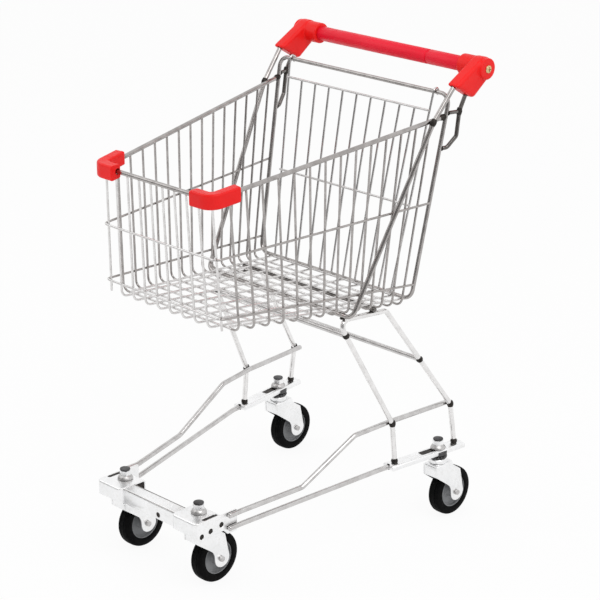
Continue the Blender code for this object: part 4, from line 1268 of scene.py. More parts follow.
@dataclass
class PushHandle:
    """Grip on its bar, the moulded brackets with their screws, and the stays down to the hoop."""

    shop: PaintShop
    basket: Basket
    bar_y: float = 0.317
    bar_z: float = 0.901
    bar_r: float = 0.010
    grip_r: float = 0.0145
    grip_half: float = 0.1867
    groove_x: float = 0.103
    groove_w: float = 0.004
    groove_t: float = 0.002
    grip_ease: float = 0.0012
    bracket_x: float = 0.230
    bracket_w: float = 0.028
    bracket_r: float = 0.022
    bracket_edge: float = 0.0065
    boss_lip: float = 0.0015
    foot_front: Pair = (0.234, 0.881)
    foot_rear: Pair = (0.285, 0.850)
    boss_r: float = 0.0205
    boss_out: float = 0.249
    collar_in: float = 0.187
    screw_head_r: float = 0.0075
    screw_head_t: float = 0.003
    screw_sunk: float = 0.002
    stay_d: float = 0.008
    tie_d: float = 0.0072
    stay_top: Pair = (0.281, 0.867)
    stay_tie: Pair = (0.259, 0.828)
    stay_low: Pair = (0.252, 0.782)
    stay_foot_z: float = 0.762
    stay_run: float = 0.012
    stay_bend: float = 0.010
    stay_rise: float = 0.006
    stay_sink: float = 0.4
    bead_out: float = 0.001
    socket_gap: float = 0.0012

    def on_bar(self, x: float) -> Vector:
        """Point on the bar's axis."""
        return Vector((x, self.bar_y, self.bar_z))

    def grip(self) -> None:
        """Sleeve with eased ends and a groove near its right-hand end."""
        inner, outer, half = self.bar_r + GAP, self.grip_r, self.grip_half
        ease, nick, fillet = self.grip_ease, self.grip_ease * 0.3, self.grip_ease * 0.4
        left, right = self.groove_x - self.groove_w / 2, self.groove_x + self.groove_w / 2
        floor = outer - self.groove_t
        profile = [
            (-half, inner), (half, inner), (half, outer - ease), (half - nick, outer - nick),
            (half - ease, outer), (right + ease, outer), (right + nick, outer - nick),
            (right, outer - ease), (right, floor + fillet), (right - fillet, floor),
            (left + fillet, floor), (left, floor + fillet), (left, outer - ease),
            (left - nick, outer - nick), (left - ease, outer), (ease - half, outer),
            (nick - half, outer - nick), (-half, outer - ease),
        ]
        piece = turned("grip_sleeve", profile, X_AXIS, self.on_bar(0), steps=64)
        self.shop.settle(piece, FRAME_BODY, GRIP_RED, "handle_grip")

    def bracket_outline(self) -> Outline:
        """Side view of a bracket: a foot edge below and a round end about the bar.

        Returns:
            Points as (distance along the cart, height).
        """
        centre = Vector((self.bar_y, self.bar_z))
        front, rear = Vector(self.foot_front), Vector(self.foot_rear)
        turns = []
        for foot, sign in ((front, -1), (rear, 1)):
            line = foot - centre
            turns.append(math.atan2(line.y, line.x) + sign * math.acos(self.bracket_r / line.length))
        steps = 24
        outline = [tuple(rear), tuple(front)]
        for step in range(steps + 1):
            angle = between(turns[0], turns[1] - math.tau, step / steps)
            spot = centre + Vector((math.cos(angle), math.sin(angle))) * self.bracket_r
            outline.append(tuple(spot))
        return outline

    def brackets(self) -> None:
        """Moulded arms with a boss outside and a collar round the grip's end, made once and mirrored."""
        half, x = self.bracket_w / 2, self.bracket_x
        arm = prism("handle_bracket", self.bracket_outline(), X_AXIS, x - half, x + half)
        applied(arm, "BEVEL", width=self.bracket_edge, segments=4, limit_method="ANGLE",
                angle_limit=SHARP)
        strut = self.basket.strut_points()[:2]
        stay = [Vector((x, *self.stay_top)), Vector((x, *self.stay_tie))]
        rods = ((strut, self.basket.strut_d, -self.basket.strut_in), (stay, self.stay_d, self.stay_rise))
        for (top, below), rod_d, rise in rods:
            radius, reach = rod_d / 2 + self.socket_gap, -self.bracket_r * 2
            profile = [(reach, 0), (reach, radius), (rise, radius), (rise, 0)]
            along = (top - below).normalized()
            combined(arm, turned("socket", profile, along, top, steps=32), "DIFFERENCE")
        low, high, wide, lip = self.collar_in, self.boss_out, self.boss_r, self.boss_lip
        boss = [(low, 0), (low, wide - lip), (low + lip, wide), (high - lip, wide), (high, wide - lip),
                (high, 0)]
        right = joined(arm, turned("boss", boss, X_AXIS, self.on_bar(0), steps=64))
        moulded(right, voxel=0.0008, rounds=6)
        right.name = "bracket_moulding_right"
        left = mirrored(right, "bracket_moulding_left")
        self.shop.settle_pair(right, left, RED, "handle_bracket")

    def screws(self) -> None:
        """Pan-head screws with a cross recess in the ends of the bar."""
        face, head, tall = self.boss_out, self.screw_head_r, self.screw_head_t
        seat = face - self.screw_sunk
        profile = [
            (seat, 0), (seat, head * 0.4), (face, head * 0.5), (face, head * 0.96),
            (face + tall * 0.2, head), (face + tall * 0.55, head * 0.93), (face + tall * 0.85, head * 0.72),
            (face + tall, head * 0.4), (face + tall, 0),
        ]
        screw = turned("bracket_screw", profile, X_AXIS, self.on_bar(0), steps=40)
        arm, width = head * 0.62, head * 0.11
        for wide, high in ((arm, width), (width, arm)):
            slot = boxed(self.bar_y, self.bar_z, wide, high)
            cutter = prism("recess", slot, X_AXIS, face + tall * 0.3, face + tall * 2)
            combined(screw, cutter, "DIFFERENCE")
        flats = 30.0
        screw = smoothed(cleaned(screw), flats)
        screw.name = "end_screw_right"
        other = mirrored(screw, "end_screw_left", flats)
        self.shop.settle_pair(screw, other, YELLOW_ZINC, "bracket_screw")

    def stays(self) -> None:
        """Bent rods from the brackets' feet to the hoop, with a short tie at the rim's height."""
        basket, x = self.basket, self.bracket_x
        sunk = basket.hoop_d * self.stay_sink
        axis = basket.hoop_spot(self.stay_foot_z)
        low = Vector((x, *self.stay_low))
        out = Vector((low.x - axis.x, low.y - axis.y, 0)).normalized()
        foot = axis + out * sunk
        top, tie = Vector((x, *self.stay_top)), Vector((x, *self.stay_tie))
        rise = (top - tie).normalized() * self.stay_rise
        main = bent([top + rise, tie, low, foot + out * self.stay_run, foot], self.stay_bend)
        tie_axis = basket.hoop_spot(tie.z)
        tie_out = (tie - tie_axis).normalized()
        tie_foot = tie_axis + tie_out * sunk
        lump_d = self.stay_d * basket.rim_lump
        for side in Side:
            rod = swept(f"stay_rod_{side.label}", [side.path(main)], self.stay_d, basket.rod_sides)
            link = swept("tie", [side.path([tie, tie_foot])], self.tie_d, basket.rod_sides)
            welds = []
            for end, along in ((foot, out), (tie_foot, tie_out)):
                spot = side.place(end + along * self.bead_out)
                welds.append(weld_ring(spot, side.place(along), self.stay_d / 2, basket.bead))
            welds.append(weld_collar(side.place(tie), side.place(tie - low), basket.lump, lump_d))
            piece = self.shop.welded(joined(rod, link), DARK_REFLECTION_CHROME, welds)
            self.shop.settle(piece, FRAME_BODY, DARK_REFLECTION_CHROME, f"handle_stay_{side.label}")

    def build(self) -> None:
        """Build every piece of the handle."""
        self.grip()
        self.brackets()
        self.screws()
        self.stays()
        self.shop.coat(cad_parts["handle_bar"], ZINC)


# Corner bumpers

@dataclass
class CornerBumpers:
    """Thick red mouldings over the rim's front corners."""

    shop: PaintShop
    basket: Basket
    thick: float = 0.0125
    inner: float = 0.0062
    below: float = 0.0165
    above: float = 0.013
    skirt: float = 0.0125
    front_x: float = 0.105
    side_y: float = -0.240
    edge: float = 0.0040
    play: float = 0.0012

    def build(self) -> None:
        """Sweep the section round the corner, cut the rim's channel, soften the edges and mirror it."""
        basket = self.basket
        near, far = -self.inner, basket.rim_d / 2 + GAP + self.thick
        wall = [(far, -self.below), (far, self.above), (near, self.above), (near, -self.skirt)]
        wall = rounded(wall, self.edge)
        ring = basket.ring(1.0, 0.0)
        arc = ring[1:basket.corner_steps + 2]
        side_end = Vector((basket.rim_half(self.side_y), self.side_y, basket.rim_z(self.side_y)))
        front_end = Vector((self.front_x, basket.rim_front_y, basket.rim_front_z))
        path = [side_end] + arc + [front_end]
        sections = []
        for index, spot in enumerate(path):
            ahead = path[min(index + 1, len(path) - 1)] - path[max(index - 1, 0)]
            out = ahead.cross(Z_AXIS).normalized() * -1
            sections.append([spot + out * a + Z_AXIS * b for a, b in wall])
        count = len(wall)
        verts = [point for section in sections for point in section]
        faces = [tuple(range(count)), tuple(range(len(verts) - 1, len(verts) - count - 1, -1))]
        for row in range(len(sections) - 1):
            for step in range(count):
                first, second = row * count + step, row * count + (step + 1) % count
                faces.append((second, first, first + count, second + count))
        mesh = bpy.data.meshes.new("corner_bumper")
        mesh.from_pydata(verts, [], faces)
        right = cleaned(added("bumper_moulding_right", mesh))
        rim = [ring[0]] + arc + [Side.LEFT.place(front_end)]
        channel = swept("channel", [rim], basket.rim_d + 2 * self.play, basket.rod_sides)
        right = moulded(combined(right, channel, "DIFFERENCE"), voxel=0.0007, rounds=8)
        left = mirrored(right, "bumper_moulding_left")
        self.shop.settle_pair(right, left, RED, "corner_bumper")


# Chassis

@dataclass
class Chassis:
    """Legs, ties and rails of bent rod on the front carrier and the rear caster shoes."""

    shop: PaintShop
    basket: Basket
    rod_d: float = 0.010
    bend: float = 0.022
    leg_bend: float = 0.014
    fold: float = 0.0045
    node_z: float = 0.231
    front_node_x: float = 0.204
    rear_node_x: float = 0.218
    leg_top_x: float = 0.172
    leg_top_front_y: float = -0.003
    leg_top_rear_y: float = 0.127
    front_tie_z: float = 0.432
    rear_tie_z: float = 0.338
    post_inset: float = 0.016
    shoe_w: float = 0.030
    shoe_flange: float = 0.009
    shoe_slot_y: float = -0.029
    shoe_slot: Pair = (0.015, 0.036)
    shoe_edge: float = 0.0005
    shoe_nose: float = 0.0006
    shoe_round: float = 0.002
    shoe_shade: Pair = (0.00285, 0.0012)
    head_relief: float = 0.019
    shoe_front: float = 0.128
    shoe_rear: float = 0.058
    shoe_turn: float = math.radians(7.0)
    pan_front: float = 0.040
    pan_rear: float = 0.023
    pan_in: float = 0.072
    pan_out: float = 0.140
    pan_h: float = 0.028
    beam_front: float = 0.031
    beam_d: float = 0.030
    beam_h: float = 0.030
    fold_shade_d: float = 0.0032
    fold_shade_dip: float = 0.002329
    fold_shade_in: float = 0.003375
    fold_shade_drop: float = 0.001088
    plate_back: float = 0.062
    plate_low_z: float = 0.116
    plate_round: float = 0.003
    tail_low_z: float = 0.106
    tail_start: float = 0.028
    tail_full: float = 0.038
    hole_r: float = 0.0052
    beam_past: float = 0.0006
    pan_corner: float = 0.009
    pan_return: float = 0.0144
    holes: tuple[Pair, ...] = ((-0.026, 0.122), (-0.004, 0.126), (0.023, 0.130))
    hole_shade_past: float = 0.0004
    shade_back: float = 0.0036
    hole_shade_front: float = 0.00135
    slot_shade_front: float = 0.0015
    beam_hole: Pair = (0.025, 0.129)
    slot_l: float = 0.036
    slot_w: float = 0.0085
    slot_in: float = 0.0068
    rail_x: float = 0.1458
    rail_start: float = 0.036
    rail_straight: float = 0.030
    upper_rail_z: float = 0.145
    lower_rail_z: float = 0.119
    rail_knee: Triple = (0.172, -0.099, 0.157)
    rail_top: Triple = (0.184, 0.031, 0.226)
    rail_end: float = 0.008
    rail_gap: float = 0.0001
    rail_sunk: float = 0.001
    seam_in: float = 0.44
    seam_rise: float = 0.24
    bead: float = 0.0026
    lump: float = 0.0135
    lump_l: float = 0.0095
    lump_lift: float = 0.00399
    knee_l: float = 0.0125
    rest_rise: float = 0.004
    rest_r: float = 0.0036
    rest_bead: float = 0.00312

    def __post_init__(self) -> None:
        """Work out the points where the rods meet."""
        self.front_y = Corner.FRONT_RIGHT.pin.y
        self.shoe_dir = Vector((math.sin(self.shoe_turn), math.cos(self.shoe_turn), 0))
        self.shoe_centre = Corner.REAR_RIGHT.pin + Z_AXIS * DECK_Z
        self.front_post = self.shoe_centre - self.shoe_dir * (self.shoe_front - self.post_inset)
        self.rear_post = self.shoe_centre + self.shoe_dir * (self.shoe_rear - self.post_inset)
        self.front_node = Vector((self.front_node_x, self.front_post.y, self.node_z))
        self.rear_node = Vector((self.rear_node_x, self.rear_post.y, self.node_z))
        self.front_top = self.under_basket(self.leg_top_front_y)
        self.rear_top = self.under_basket(self.leg_top_rear_y)

    def under_basket(self, y: float) -> Vector:
        """Point of the legs' side bar, which carries the two rods under the floor.

        Args:
            y: Station along the cart.

        Returns:
            The point on the right-hand side.
        """
        basket = self.basket
        z = basket.floor_z(y) - basket.under_floor - basket.strut_d - GAP - self.rod_d / 2
        return Vector((self.leg_top_x, y, z))

    def rod(self, name: str, path: Path, finish: Finish, node: str, welds: list[bpy.types.Object]) -> None:
        """Weld up one bent rod with its beads in place of a node."""
        rod = swept(name, [path], self.rod_d, self.basket.rod_sides)
        self.shop.settle(self.shop.welded(rod, finish, welds), FRAME_BODY, finish, node)

    def legs(self) -> None:
        """Bent leg rods, welded to the shoes, the rails and the rods under the floor."""
        basket = self.basket
        feet = ((self.rear_post, self.rear_node), (self.front_post, self.front_node))
        points = [self.rear_post, self.rear_node, self.rear_top]
        points += [self.front_top, self.front_node, self.front_post]
        path = bent(points, self.leg_bend)
        for side in Side:
            welds = []
            for foot, knee in feet:
                along = (knee - foot).normalized()
                low = foot + along * self.lump_lift
                for spot, length in ((low, self.lump_l), (knee, self.knee_l)):
                    welds.append(weld_collar(side.place(spot), side.place(along), length, self.lump))
            for bay in (basket.strut_bay, basket.cross_rod_bay):
                spot = self.under_basket(basket.side_station(bay)[1]) + Z_AXIS * self.rest_rise
                welds.append(weld_ring(side.place(spot), Z_AXIS, self.rest_r, self.rest_bead))
            node = f"leg_frame_{side.label}"
            self.rod(f"leg_rod_{side.label}", side.path(path), LIT_SATIN_CHROME, node, welds)

    def ties(self) -> None:
        """Straight rods between the legs of both sides, welded at their ends."""
        rows = (
            ("front", self.front_top, self.front_node, self.front_tie_z),
            ("rear", self.rear_top, self.rear_node, self.rear_tie_z),
        )
        for label, top, node, z in rows:
            spot = top.lerp(node, (top.z - z) / (top.z - node.z))
            end = spot - X_AXIS * self.rod_d * self.basket.sink
            welds = []
            for side in Side:
                along = side.place(top - node)
                welds.append(weld_collar(side.place(spot), along, self.lump_l, self.lump))
            path = [end, Side.LEFT.place(end)]
            self.rod(f"{label}_tie_rod", path, CHROME, f"{label}_leg_tie", welds)

    def rails(self) -> None:
        """Rails from the end plates: the upper one to the legs, the lower one to the shoe."""
        start_y = self.front_y + self.rail_start
        inside = X_AXIS * (self.rod_d + self.rail_gap)
        shoe_end = self.shoe_centre - self.shoe_dir * (self.shoe_front - self.rail_sunk)
        shoe_end.z = DECK_Z - self.shoe_flange / 2
        straight = start_y + self.rail_straight
        starts = {}
        for label, z in (("upper", self.upper_rail_z), ("lower", self.lower_rail_z)):
            starts[label] = [Vector((self.rail_x, y, z)) for y in (start_y, straight)]
        upper = starts["upper"] + [
            Vector(self.rail_knee), Vector(self.rail_top), self.front_node - inside,
            self.rear_node - inside + Y_AXIS * self.rail_end,
        ]
        lower = starts["lower"] + [shoe_end - self.shoe_dir * self.bend, shoe_end]
        plate_y = self.front_y + self.plate_back
        seam_x = self.rail_x - self.rod_d * self.seam_in
        for side in Side:
            for label, points in (("upper", upper), ("lower", lower)):
                welds = []
                for sign in (-1, 1):
                    seam_z = points[0].z + sign * self.rod_d * self.seam_rise
                    ends = [side.place(Vector((seam_x, y, seam_z))) for y in (start_y, plate_y)]
                    welds.append(weld_seam(*ends, self.bead))
                if label == "lower":
                    along = side.place(self.shoe_dir)
                    welds.append(weld_ring(side.place(shoe_end), along, self.rod_d / 2, self.bead))
                name = f"{label}_rail_{side.label}"
                self.rod(f"{name}_rod", side.path(bent(points, self.bend)), CHROME, name, welds)

    def hole(self, axis: Vector, centre: Vector) -> bpy.types.Object:
        """Cutter for a drilled hole through a sheet.

        Args:
            axis: Direction of the hole.
            centre: Middle of its mouth.

        Returns:
            The cutter.
        """
        reach = 2 * SHEET
        profile = [(-reach, 0), (-reach, self.hole_r), (reach, self.hole_r), (reach, 0)]
        return turned("hole", profile, axis, centre, steps=32)

    def hole_shade(self, axis: Vector, centre: Vector) -> bpy.types.Object:
        """Painted shade inside a drilled hole.

        Args:
            axis: Direction that the hole faces.
            centre: Middle of its mouth.

        Returns:
            A short disc, set back in the hole.
        """
        back, front, wide = -self.shade_back, -self.hole_shade_front, self.hole_r + self.hole_shade_past
        profile = [(back, 0), (back, wide), (front, wide), (front, 0)]
        disc = turned("hole_shade", profile, axis, centre, steps=24)
        self.shop.coat(disc, WELD_AND_SHADE)
        return disc

    def strip(self, front: float, out: float) -> bpy.types.Object:
        """Front flange of a pan that turns in to the beam and round its corner into the end plate.

        Args:
            front: Station of the flange's front face.
            out: Distance from the middle of the plate's outer face.

        Returns:
            The mesh of the right-hand strip.
        """
        y, corner = self.front_y, self.pan_corner
        back, top = y + self.plate_back, DECK_Z - self.fold * 0.3
        turn, near, far = front + self.pan_return, self.pan_in + SHEET, out - SHEET
        outside = [(self.pan_in, turn), (self.pan_in, front), (out, front), (out, back)]
        inside = [(far, back), (far, front + SHEET), (near, front + SHEET), (near, turn)]
        plan = []
        for corners, radius in ((outside, corner), (inside, corner - SHEET)):
            plan += bent([Vector((*spot, 0)) for spot in corners], radius)
        strip = prism("strip", [(point.x, point.y) for point in plan], Z_AXIS, self.tail_low_z, top)
        view = [
            (front, top), (front, DECK_Z - self.pan_h), (front + corner, self.plate_low_z),
            (y + self.tail_start, self.plate_low_z), (y + self.tail_full, self.tail_low_z),
            (back, self.tail_low_z), (back, top),
        ]
        trim = prism("trim", rounded(view, self.plate_round), X_AXIS, self.pan_in - SHEET, out + SHEET)
        return combined(strip, trim, "INTERSECT")

    def pan(self) -> bpy.types.Object:
        """Right-hand pan: a pressing with a slot in its top, rounded into the end plate.

        Returns:
            The pressed mesh with dark discs and plates inside its holes, slot and open inner end, which are
            painted shade.
        """
        y = self.front_y
        front, rear = y - self.pan_front, y + self.pan_rear
        out, top = self.pan_out + SHEET / 6, DECK_Z + SHEET
        middle = (front + rear) / 2
        section = folded(rear - front, self.pan_h, SHEET, self.fold)
        section = [(middle + a, DECK_Z + b) for a, b in section]
        pan = prism("pan", section, X_AXIS, self.pan_in, self.pan_out)
        behind = rear + SHEET
        corners = [(self.pan_in, behind), (self.pan_in, front), (out, front), (out, behind)]
        corners = [Vector((*corner, 0)) for corner in corners]
        plan = [(point.x, point.y) for point in bent(corners, self.pan_corner)]
        combined(pan, prism("plan", plan, Z_AXIS, self.tail_low_z, top), "INTERSECT")
        half = self.slot_w / 2
        slot = boxed(self.pan_out - self.slot_in, y, half, self.slot_l / 2)
        cutter = prism("slot", rounded(slot, half * 0.9), Z_AXIS, DECK_Z - 2 * SHEET, top)
        combined(pan, cutter, "DIFFERENCE")
        strip = self.strip(front, out)
        mouths = [Vector((out, y + along, z)) for along, z in self.holes]
        for spot in mouths:
            for piece in (pan, strip):
                combined(piece, self.hole(X_AXIS, spot), "DIFFERENCE")
        pan = moulded(joined(pan, strip), voxel=0.0009, rounds=5)
        self.shop.coat(pan, ZINC)
        # A dark plate under the slot and another inside the pan's open inner end are painted shade
        shade = prism("shade", slot, Z_AXIS, DECK_Z - self.shade_back, DECK_Z - self.slot_shade_front)
        beam_back, inside = y - self.beam_front + self.beam_d, rear - SHEET
        low, high = DECK_Z - self.pan_h, DECK_Z - SHEET
        end = [(beam_back, low), (inside, low), (inside, high), (beam_back, high)]
        end_shade = prism("end_shade", end, X_AXIS, self.pan_in + SHEET, self.pan_in + 2 * SHEET)
        for plate in (shade, end_shade):
            self.shop.coat(plate, WELD_AND_SHADE)
        return joined(pan, shade, end_shade, *[self.hole_shade(X_AXIS, spot) for spot in mouths])

    def creases(self, front: float, top: float) -> list[bpy.types.Object]:
        """Painted shade lines of darker chrome along the beam's two folds.

        Args:
            front: Station of the beam's front face.
            top: Height of its top face.

        Returns:
            The meshes, a little proud of the sheet.
        """
        dip, rear = self.fold_shade_dip, front + self.beam_d - self.fold_shade_in
        lines = []
        for y, drop, finish in ((front + dip, dip, SHADED_CHROME), (rear, self.fold_shade_drop, DARK_REFLECTION_CHROME)):
            path = [Vector((x, y, top - drop)) for x in (-self.pan_in, self.pan_in)]
            line = swept("crease", [path], self.fold_shade_d, self.basket.wire_sides)
            self.shop.coat(line, finish)
            lines.append(line)
        return lines

    def carrier(self) -> None:
        """Front beam with a pressed pan over each caster, whose end plate carries the rails."""
        front = self.front_y - self.beam_front
        beam_y, beam_z = front + self.beam_d / 2, DECK_Z - SHEET / 3
        section = folded(self.beam_d, self.beam_h, SHEET, self.fold)
        outline = [(beam_y + a, beam_z + b) for a, b in section]
        reach = self.pan_in + self.beam_past
        beam = prism("front_carrier_sheet", outline, X_AXIS, -reach, reach)
        hole_x, hole_z = self.beam_hole
        mouth = Vector((hole_x, front, hole_z))
        beam = softened(combined(beam, self.hole(Y_AXIS, mouth), "DIFFERENCE"), width=0.0004)
        self.shop.coat(beam, ZINC)
        right = self.pan()
        left = copied(right, "left", MIRROR)
        # The hole's dark disc and the fold lines are painted shade
        dark = [self.hole_shade(-Y_AXIS, mouth), *self.creases(front, beam_z)]
        self.shop.settle(joined(beam, right, left, *dark), FRAME_BODY, ZINC, "front_carrier")

    def shoes(self) -> None:
        """Folded shoes under the posts, closed at the front, with a slot in front of each kingpin."""
        outline = folded(self.shoe_w, self.shoe_flange, SHEET, self.fold)
        end = -self.shoe_front
        shoe = prism("caster_shoe", outline, Y_AXIS, end, self.shoe_rear)
        wide, long = self.shoe_slot[0] / 2, self.shoe_slot[1] / 2
        slot = boxed(0, self.shoe_slot_y, wide, long)
        cutter = prism("slot", rounded(slot, wide * 0.5), Z_AXIS, -2 * SHEET, SHEET)
        combined(shoe, cutter, "DIFFERENCE")
        low, high = -2 * self.shoe_flange, -SHEET * 1.02
        relief = [(low, 0), (low, self.head_relief), (high, self.head_relief), (high, 0)]
        combined(shoe, turned("relief", relief, Z_AXIS, Vector(), steps=64), "DIFFERENCE")
        half, edge = self.shoe_w / 2 - self.fold / 2, self.shoe_edge
        foot, head = -self.shoe_flange + edge, -SHEET / 2
        wall = rounded([(-half, foot), (half, foot), (half, head), (-half, head)], self.shoe_round)
        front_wall = prism("wall", wall, Y_AXIS, end - self.shoe_nose, end + SHEET)
        shoe = joined(softened(shoe, edge), softened(front_wall, edge))
        self.shop.coat(shoe, ZINC)
        # A dark plate under each slot is painted shade
        back, front = self.shoe_shade
        shade = prism("shade", slot, Z_AXIS, -back, -front)
        self.shop.coat(shade, WELD_AND_SHADE)
        shoe = joined(shoe, shade)
        for side in Side:
            turn = Matrix.Rotation(-side.value * self.shoe_turn, 4, "Z")
            spot = side.place(self.shoe_centre)
            piece = copied(shoe, f"caster_shoe_sheet_{side.label}", Matrix.Translation(spot) @ turn)
            self.shop.settle(smoothed(piece), FRAME_BODY, ZINC, f"caster_shoe_{side.label}")
        bpy.data.objects.remove(shoe, do_unlink=True)

    def build(self) -> None:
        """Build every piece of the chassis."""
        self.legs()
        self.ties()
        self.rails()
        self.carrier()
        self.shoes()


# Casters

@dataclass
class Casters:
    """Four swivel casters, each piece modelled once at the origin and copied to the corners."""

    shop: PaintShop
    wheel_r: float = 0.050
    tyre_w: float = 0.026
    tyre_t: float = 0.017
    hub_r: float = 0.011
    axle_r: float = 0.004
    axle_head: float = 0.0100
    axle_head_t: float = 0.005
    trail: float = 0.036
    fork_inner: float = 0.032
    fork_sheet: float = 0.003
    fork_fold: float = 0.0065
    fork_top_z: float = 0.122
    fork_front: float = 0.021
    fork_rear: float = 0.024
    fork_neck_z: float = 0.114
    fork_hip: Pair = (0.047, 0.098)
    fork_knee: tuple[Pair, ...] = ((0.0080, 0.0755), (0.0160, 0.0690), (0.0200, 0.0610))
    fork_edge: float = 0.0006
    eye_r: float = 0.018
    eye_back: float = 0.003
    apron_z: float = 0.097
    apron_wrap: float = 0.012
    pin_r: float = 0.006
    head_r: float = 0.018
    pin_head_r: float = 0.0095
    pin_head_t: float = 0.005
    dome_r: float = 0.015
    dome_t: float = 0.009
    nut_across: float = 0.019
    nut_t: float = 0.009
    cap_r: float = 0.010
    cap_t: float = 0.003
    balls: int = 16

    @property
    def hub(self) -> Vector:
        """Middle of the wheel, from the kingpin's foot."""
        return Vector((0, self.trail, self.wheel_r))

    def fork_outline(self) -> Outline:
        """Side view of the fork.

        Returns:
            Points as (distance along the cart, height).
        """
        front, steps = -self.fork_front, 20
        outline = [(front, self.fork_top_z), (front, self.apron_z), *self.fork_knee]
        for step in range(steps + 1):
            angle = math.pi * (1 + step / steps)
            across, up = self.eye_r * math.cos(angle), self.eye_r * math.sin(angle)
            outline.append((self.trail + self.eye_back + across, self.wheel_r + up))
        rear = [(self.fork_rear, z) for z in (self.fork_neck_z, self.fork_top_z)]
        return outline + [self.fork_hip] + rear

    def fork(self) -> bpy.types.Object:
        """Pressed fork: a folded channel trimmed to its side view, with a rounded apron in front.

        Returns:
            The mesh about the kingpin.
        """
        half, spare = self.fork_inner / 2 + self.fork_sheet, 0.005
        height = self.fork_top_z - self.wheel_r + self.eye_r + spare
        section = folded(2 * half, height, self.fork_sheet, self.fork_fold)
        section = [(a, b + self.fork_top_z) for a, b in section]
        reach = self.trail + self.eye_back + self.eye_r + 2 * spare
        fork = prism("fork", section, Y_AXIS, -self.fork_front - spare, reach)
        side = prism("side_view", self.fork_outline(), X_AXIS, -half - 2 * spare, half + 2 * spare)
        fork = combined(fork, side, "INTERSECT")
        plan = folded(2 * half, self.apron_wrap, self.fork_sheet, self.fork_fold)
        plan = [(a, -self.fork_front - b) for a, b in plan]
        apron = prism("apron", plan, Z_AXIS, self.apron_z, self.fork_top_z - self.fork_fold * 0.6)
        fork = combined(fork, apron, "UNION")
        return softened(cleaned(fork), self.fork_edge)

    def axle(self) -> bpy.types.Object:
        """Axle bolt: a shank, washers, a hexagon head and a lock nut.

        Returns:
            The mesh about the kingpin.
        """
        inside = self.fork_inner / 2 + self.fork_sheet + GAP
        washer, ease = 0.0012, 0.0003
        shank = [(-inside, 0), (-inside, self.axle_r), (inside, self.axle_r), (inside, 0)]
        pieces = [turned("axle", shank, X_AXIS, self.hub, steps=32)]
        rim = self.axle_head * 0.57
        for sign in (1, -1):
            low, high = inside, inside + washer
            ring = [(low, 0), (low, rim), (high - ease, rim), (high, rim - ease), (high, 0)]
            ring = [(sign * along, radius) for along, radius in ring]
            pieces.append(turned("washer", ring, X_AXIS, self.hub, steps=40))
            seat = self.hub + X_AXIS * (sign * high)
            pieces.append(hexagon("nut", self.axle_head, X_AXIS * sign, seat, self.axle_head_t - washer))
        return joined(*pieces)

    def tyre(self) -> bpy.types.Object:
        """Tyre with round shoulders, a crowned tread and two fine grooves.

        Returns:
            The mesh about the kingpin.
        """
        half, root, crown = self.tyre_w / 2, self.wheel_r - self.tyre_t, self.wheel_r
        wall = ((0.90, 0.0), (0.96, 0.0012), (1.0, 0.004), (0.985, 0.007))
        shoulder = ((0.93, 0.0034), (0.84, 0.0018), (0.70, 0.0008), (0.50, 0.0003))
        groove = ((0.42, 0.0002), (0.40, 0.0011), (0.34, 0.0011), (0.32, 0.0001))
        side = [(half * share, root + rise) for share, rise in wall]
        side += [(half * share, crown - drop) for share, drop in shoulder + groove]
        profile = side + [(-along, radius) for along, radius in reversed(side)]
        return turned("tyre", profile, X_AXIS, self.hub, steps=96)

    def core(self) -> bpy.types.Object:
        """Wheel core: rim, dished web and hub.

        Returns:
            The mesh about the kingpin.
        """
        rim = self.wheel_r - self.tyre_t - GAP
        half, web = self.tyre_w / 2 * 0.9, self.tyre_w / 8
        step, lip, edge = 0.001, 0.0006, 0.0004
        bore, boss, end = self.axle_r + GAP, self.hub_r, self.fork_inner / 2 - step
        wall = rim - lip - 2 * edge
        face = [
            (end, bore), (end, boss - step), (end - step, boss), (web + 3 * step, boss + step),
            (web, boss + 4 * step), (web, wall - 3 * step), (web + 2 * step, wall - step / 2),
            (half - lip, wall), (half, wall + lip), (half, rim - edge), (half - edge, rim),
        ]
        profile = face + [(-along, radius) for along, radius in reversed(face)]
        return turned("core", profile, X_AXIS, self.hub, steps=72)

    def kingpin(self) -> bpy.types.Object:
        """Kingpin with its head under the fork and a flat, eased cap over the nut.

        Returns:
            The mesh about the kingpin.
        """
        seat = self.fork_top_z - self.fork_sheet - 2 * GAP
        under_cap = DECK_Z + 2 * GAP + self.dome_t + self.nut_t
        top, cap, ease = under_cap + self.cap_t, self.cap_r, 0.0007
        low, head, shank = seat - self.pin_head_t, self.pin_head_r, self.pin_r
        profile = [
            (low, 0), (low, head * 0.85), (low + self.pin_head_t / 5, head), (seat, head),
            (seat, shank), (under_cap, shank), (under_cap, cap - ease), (under_cap + ease, cap),
            (top - ease * 1.4, cap),
            (top - ease * 0.4, cap - ease * 0.5), (top, cap - ease * 1.6), (top, 0),
        ]
        return turned("kingpin", profile, Z_AXIS, Vector(), steps=40)

    def swivel_head(self) -> bpy.types.Object:
        """Two pressed races with the ball ring between them.

        Returns:
            The mesh about the kingpin.
        """
        bore, outer, ease = self.pin_r + GAP, self.head_r, 0.001
        low, high = self.fork_top_z + GAP, DECK_Z - SHEET - GAP

        def level(share: float) -> float:
            """Height at a share of the head."""
            return between(low, high, share)

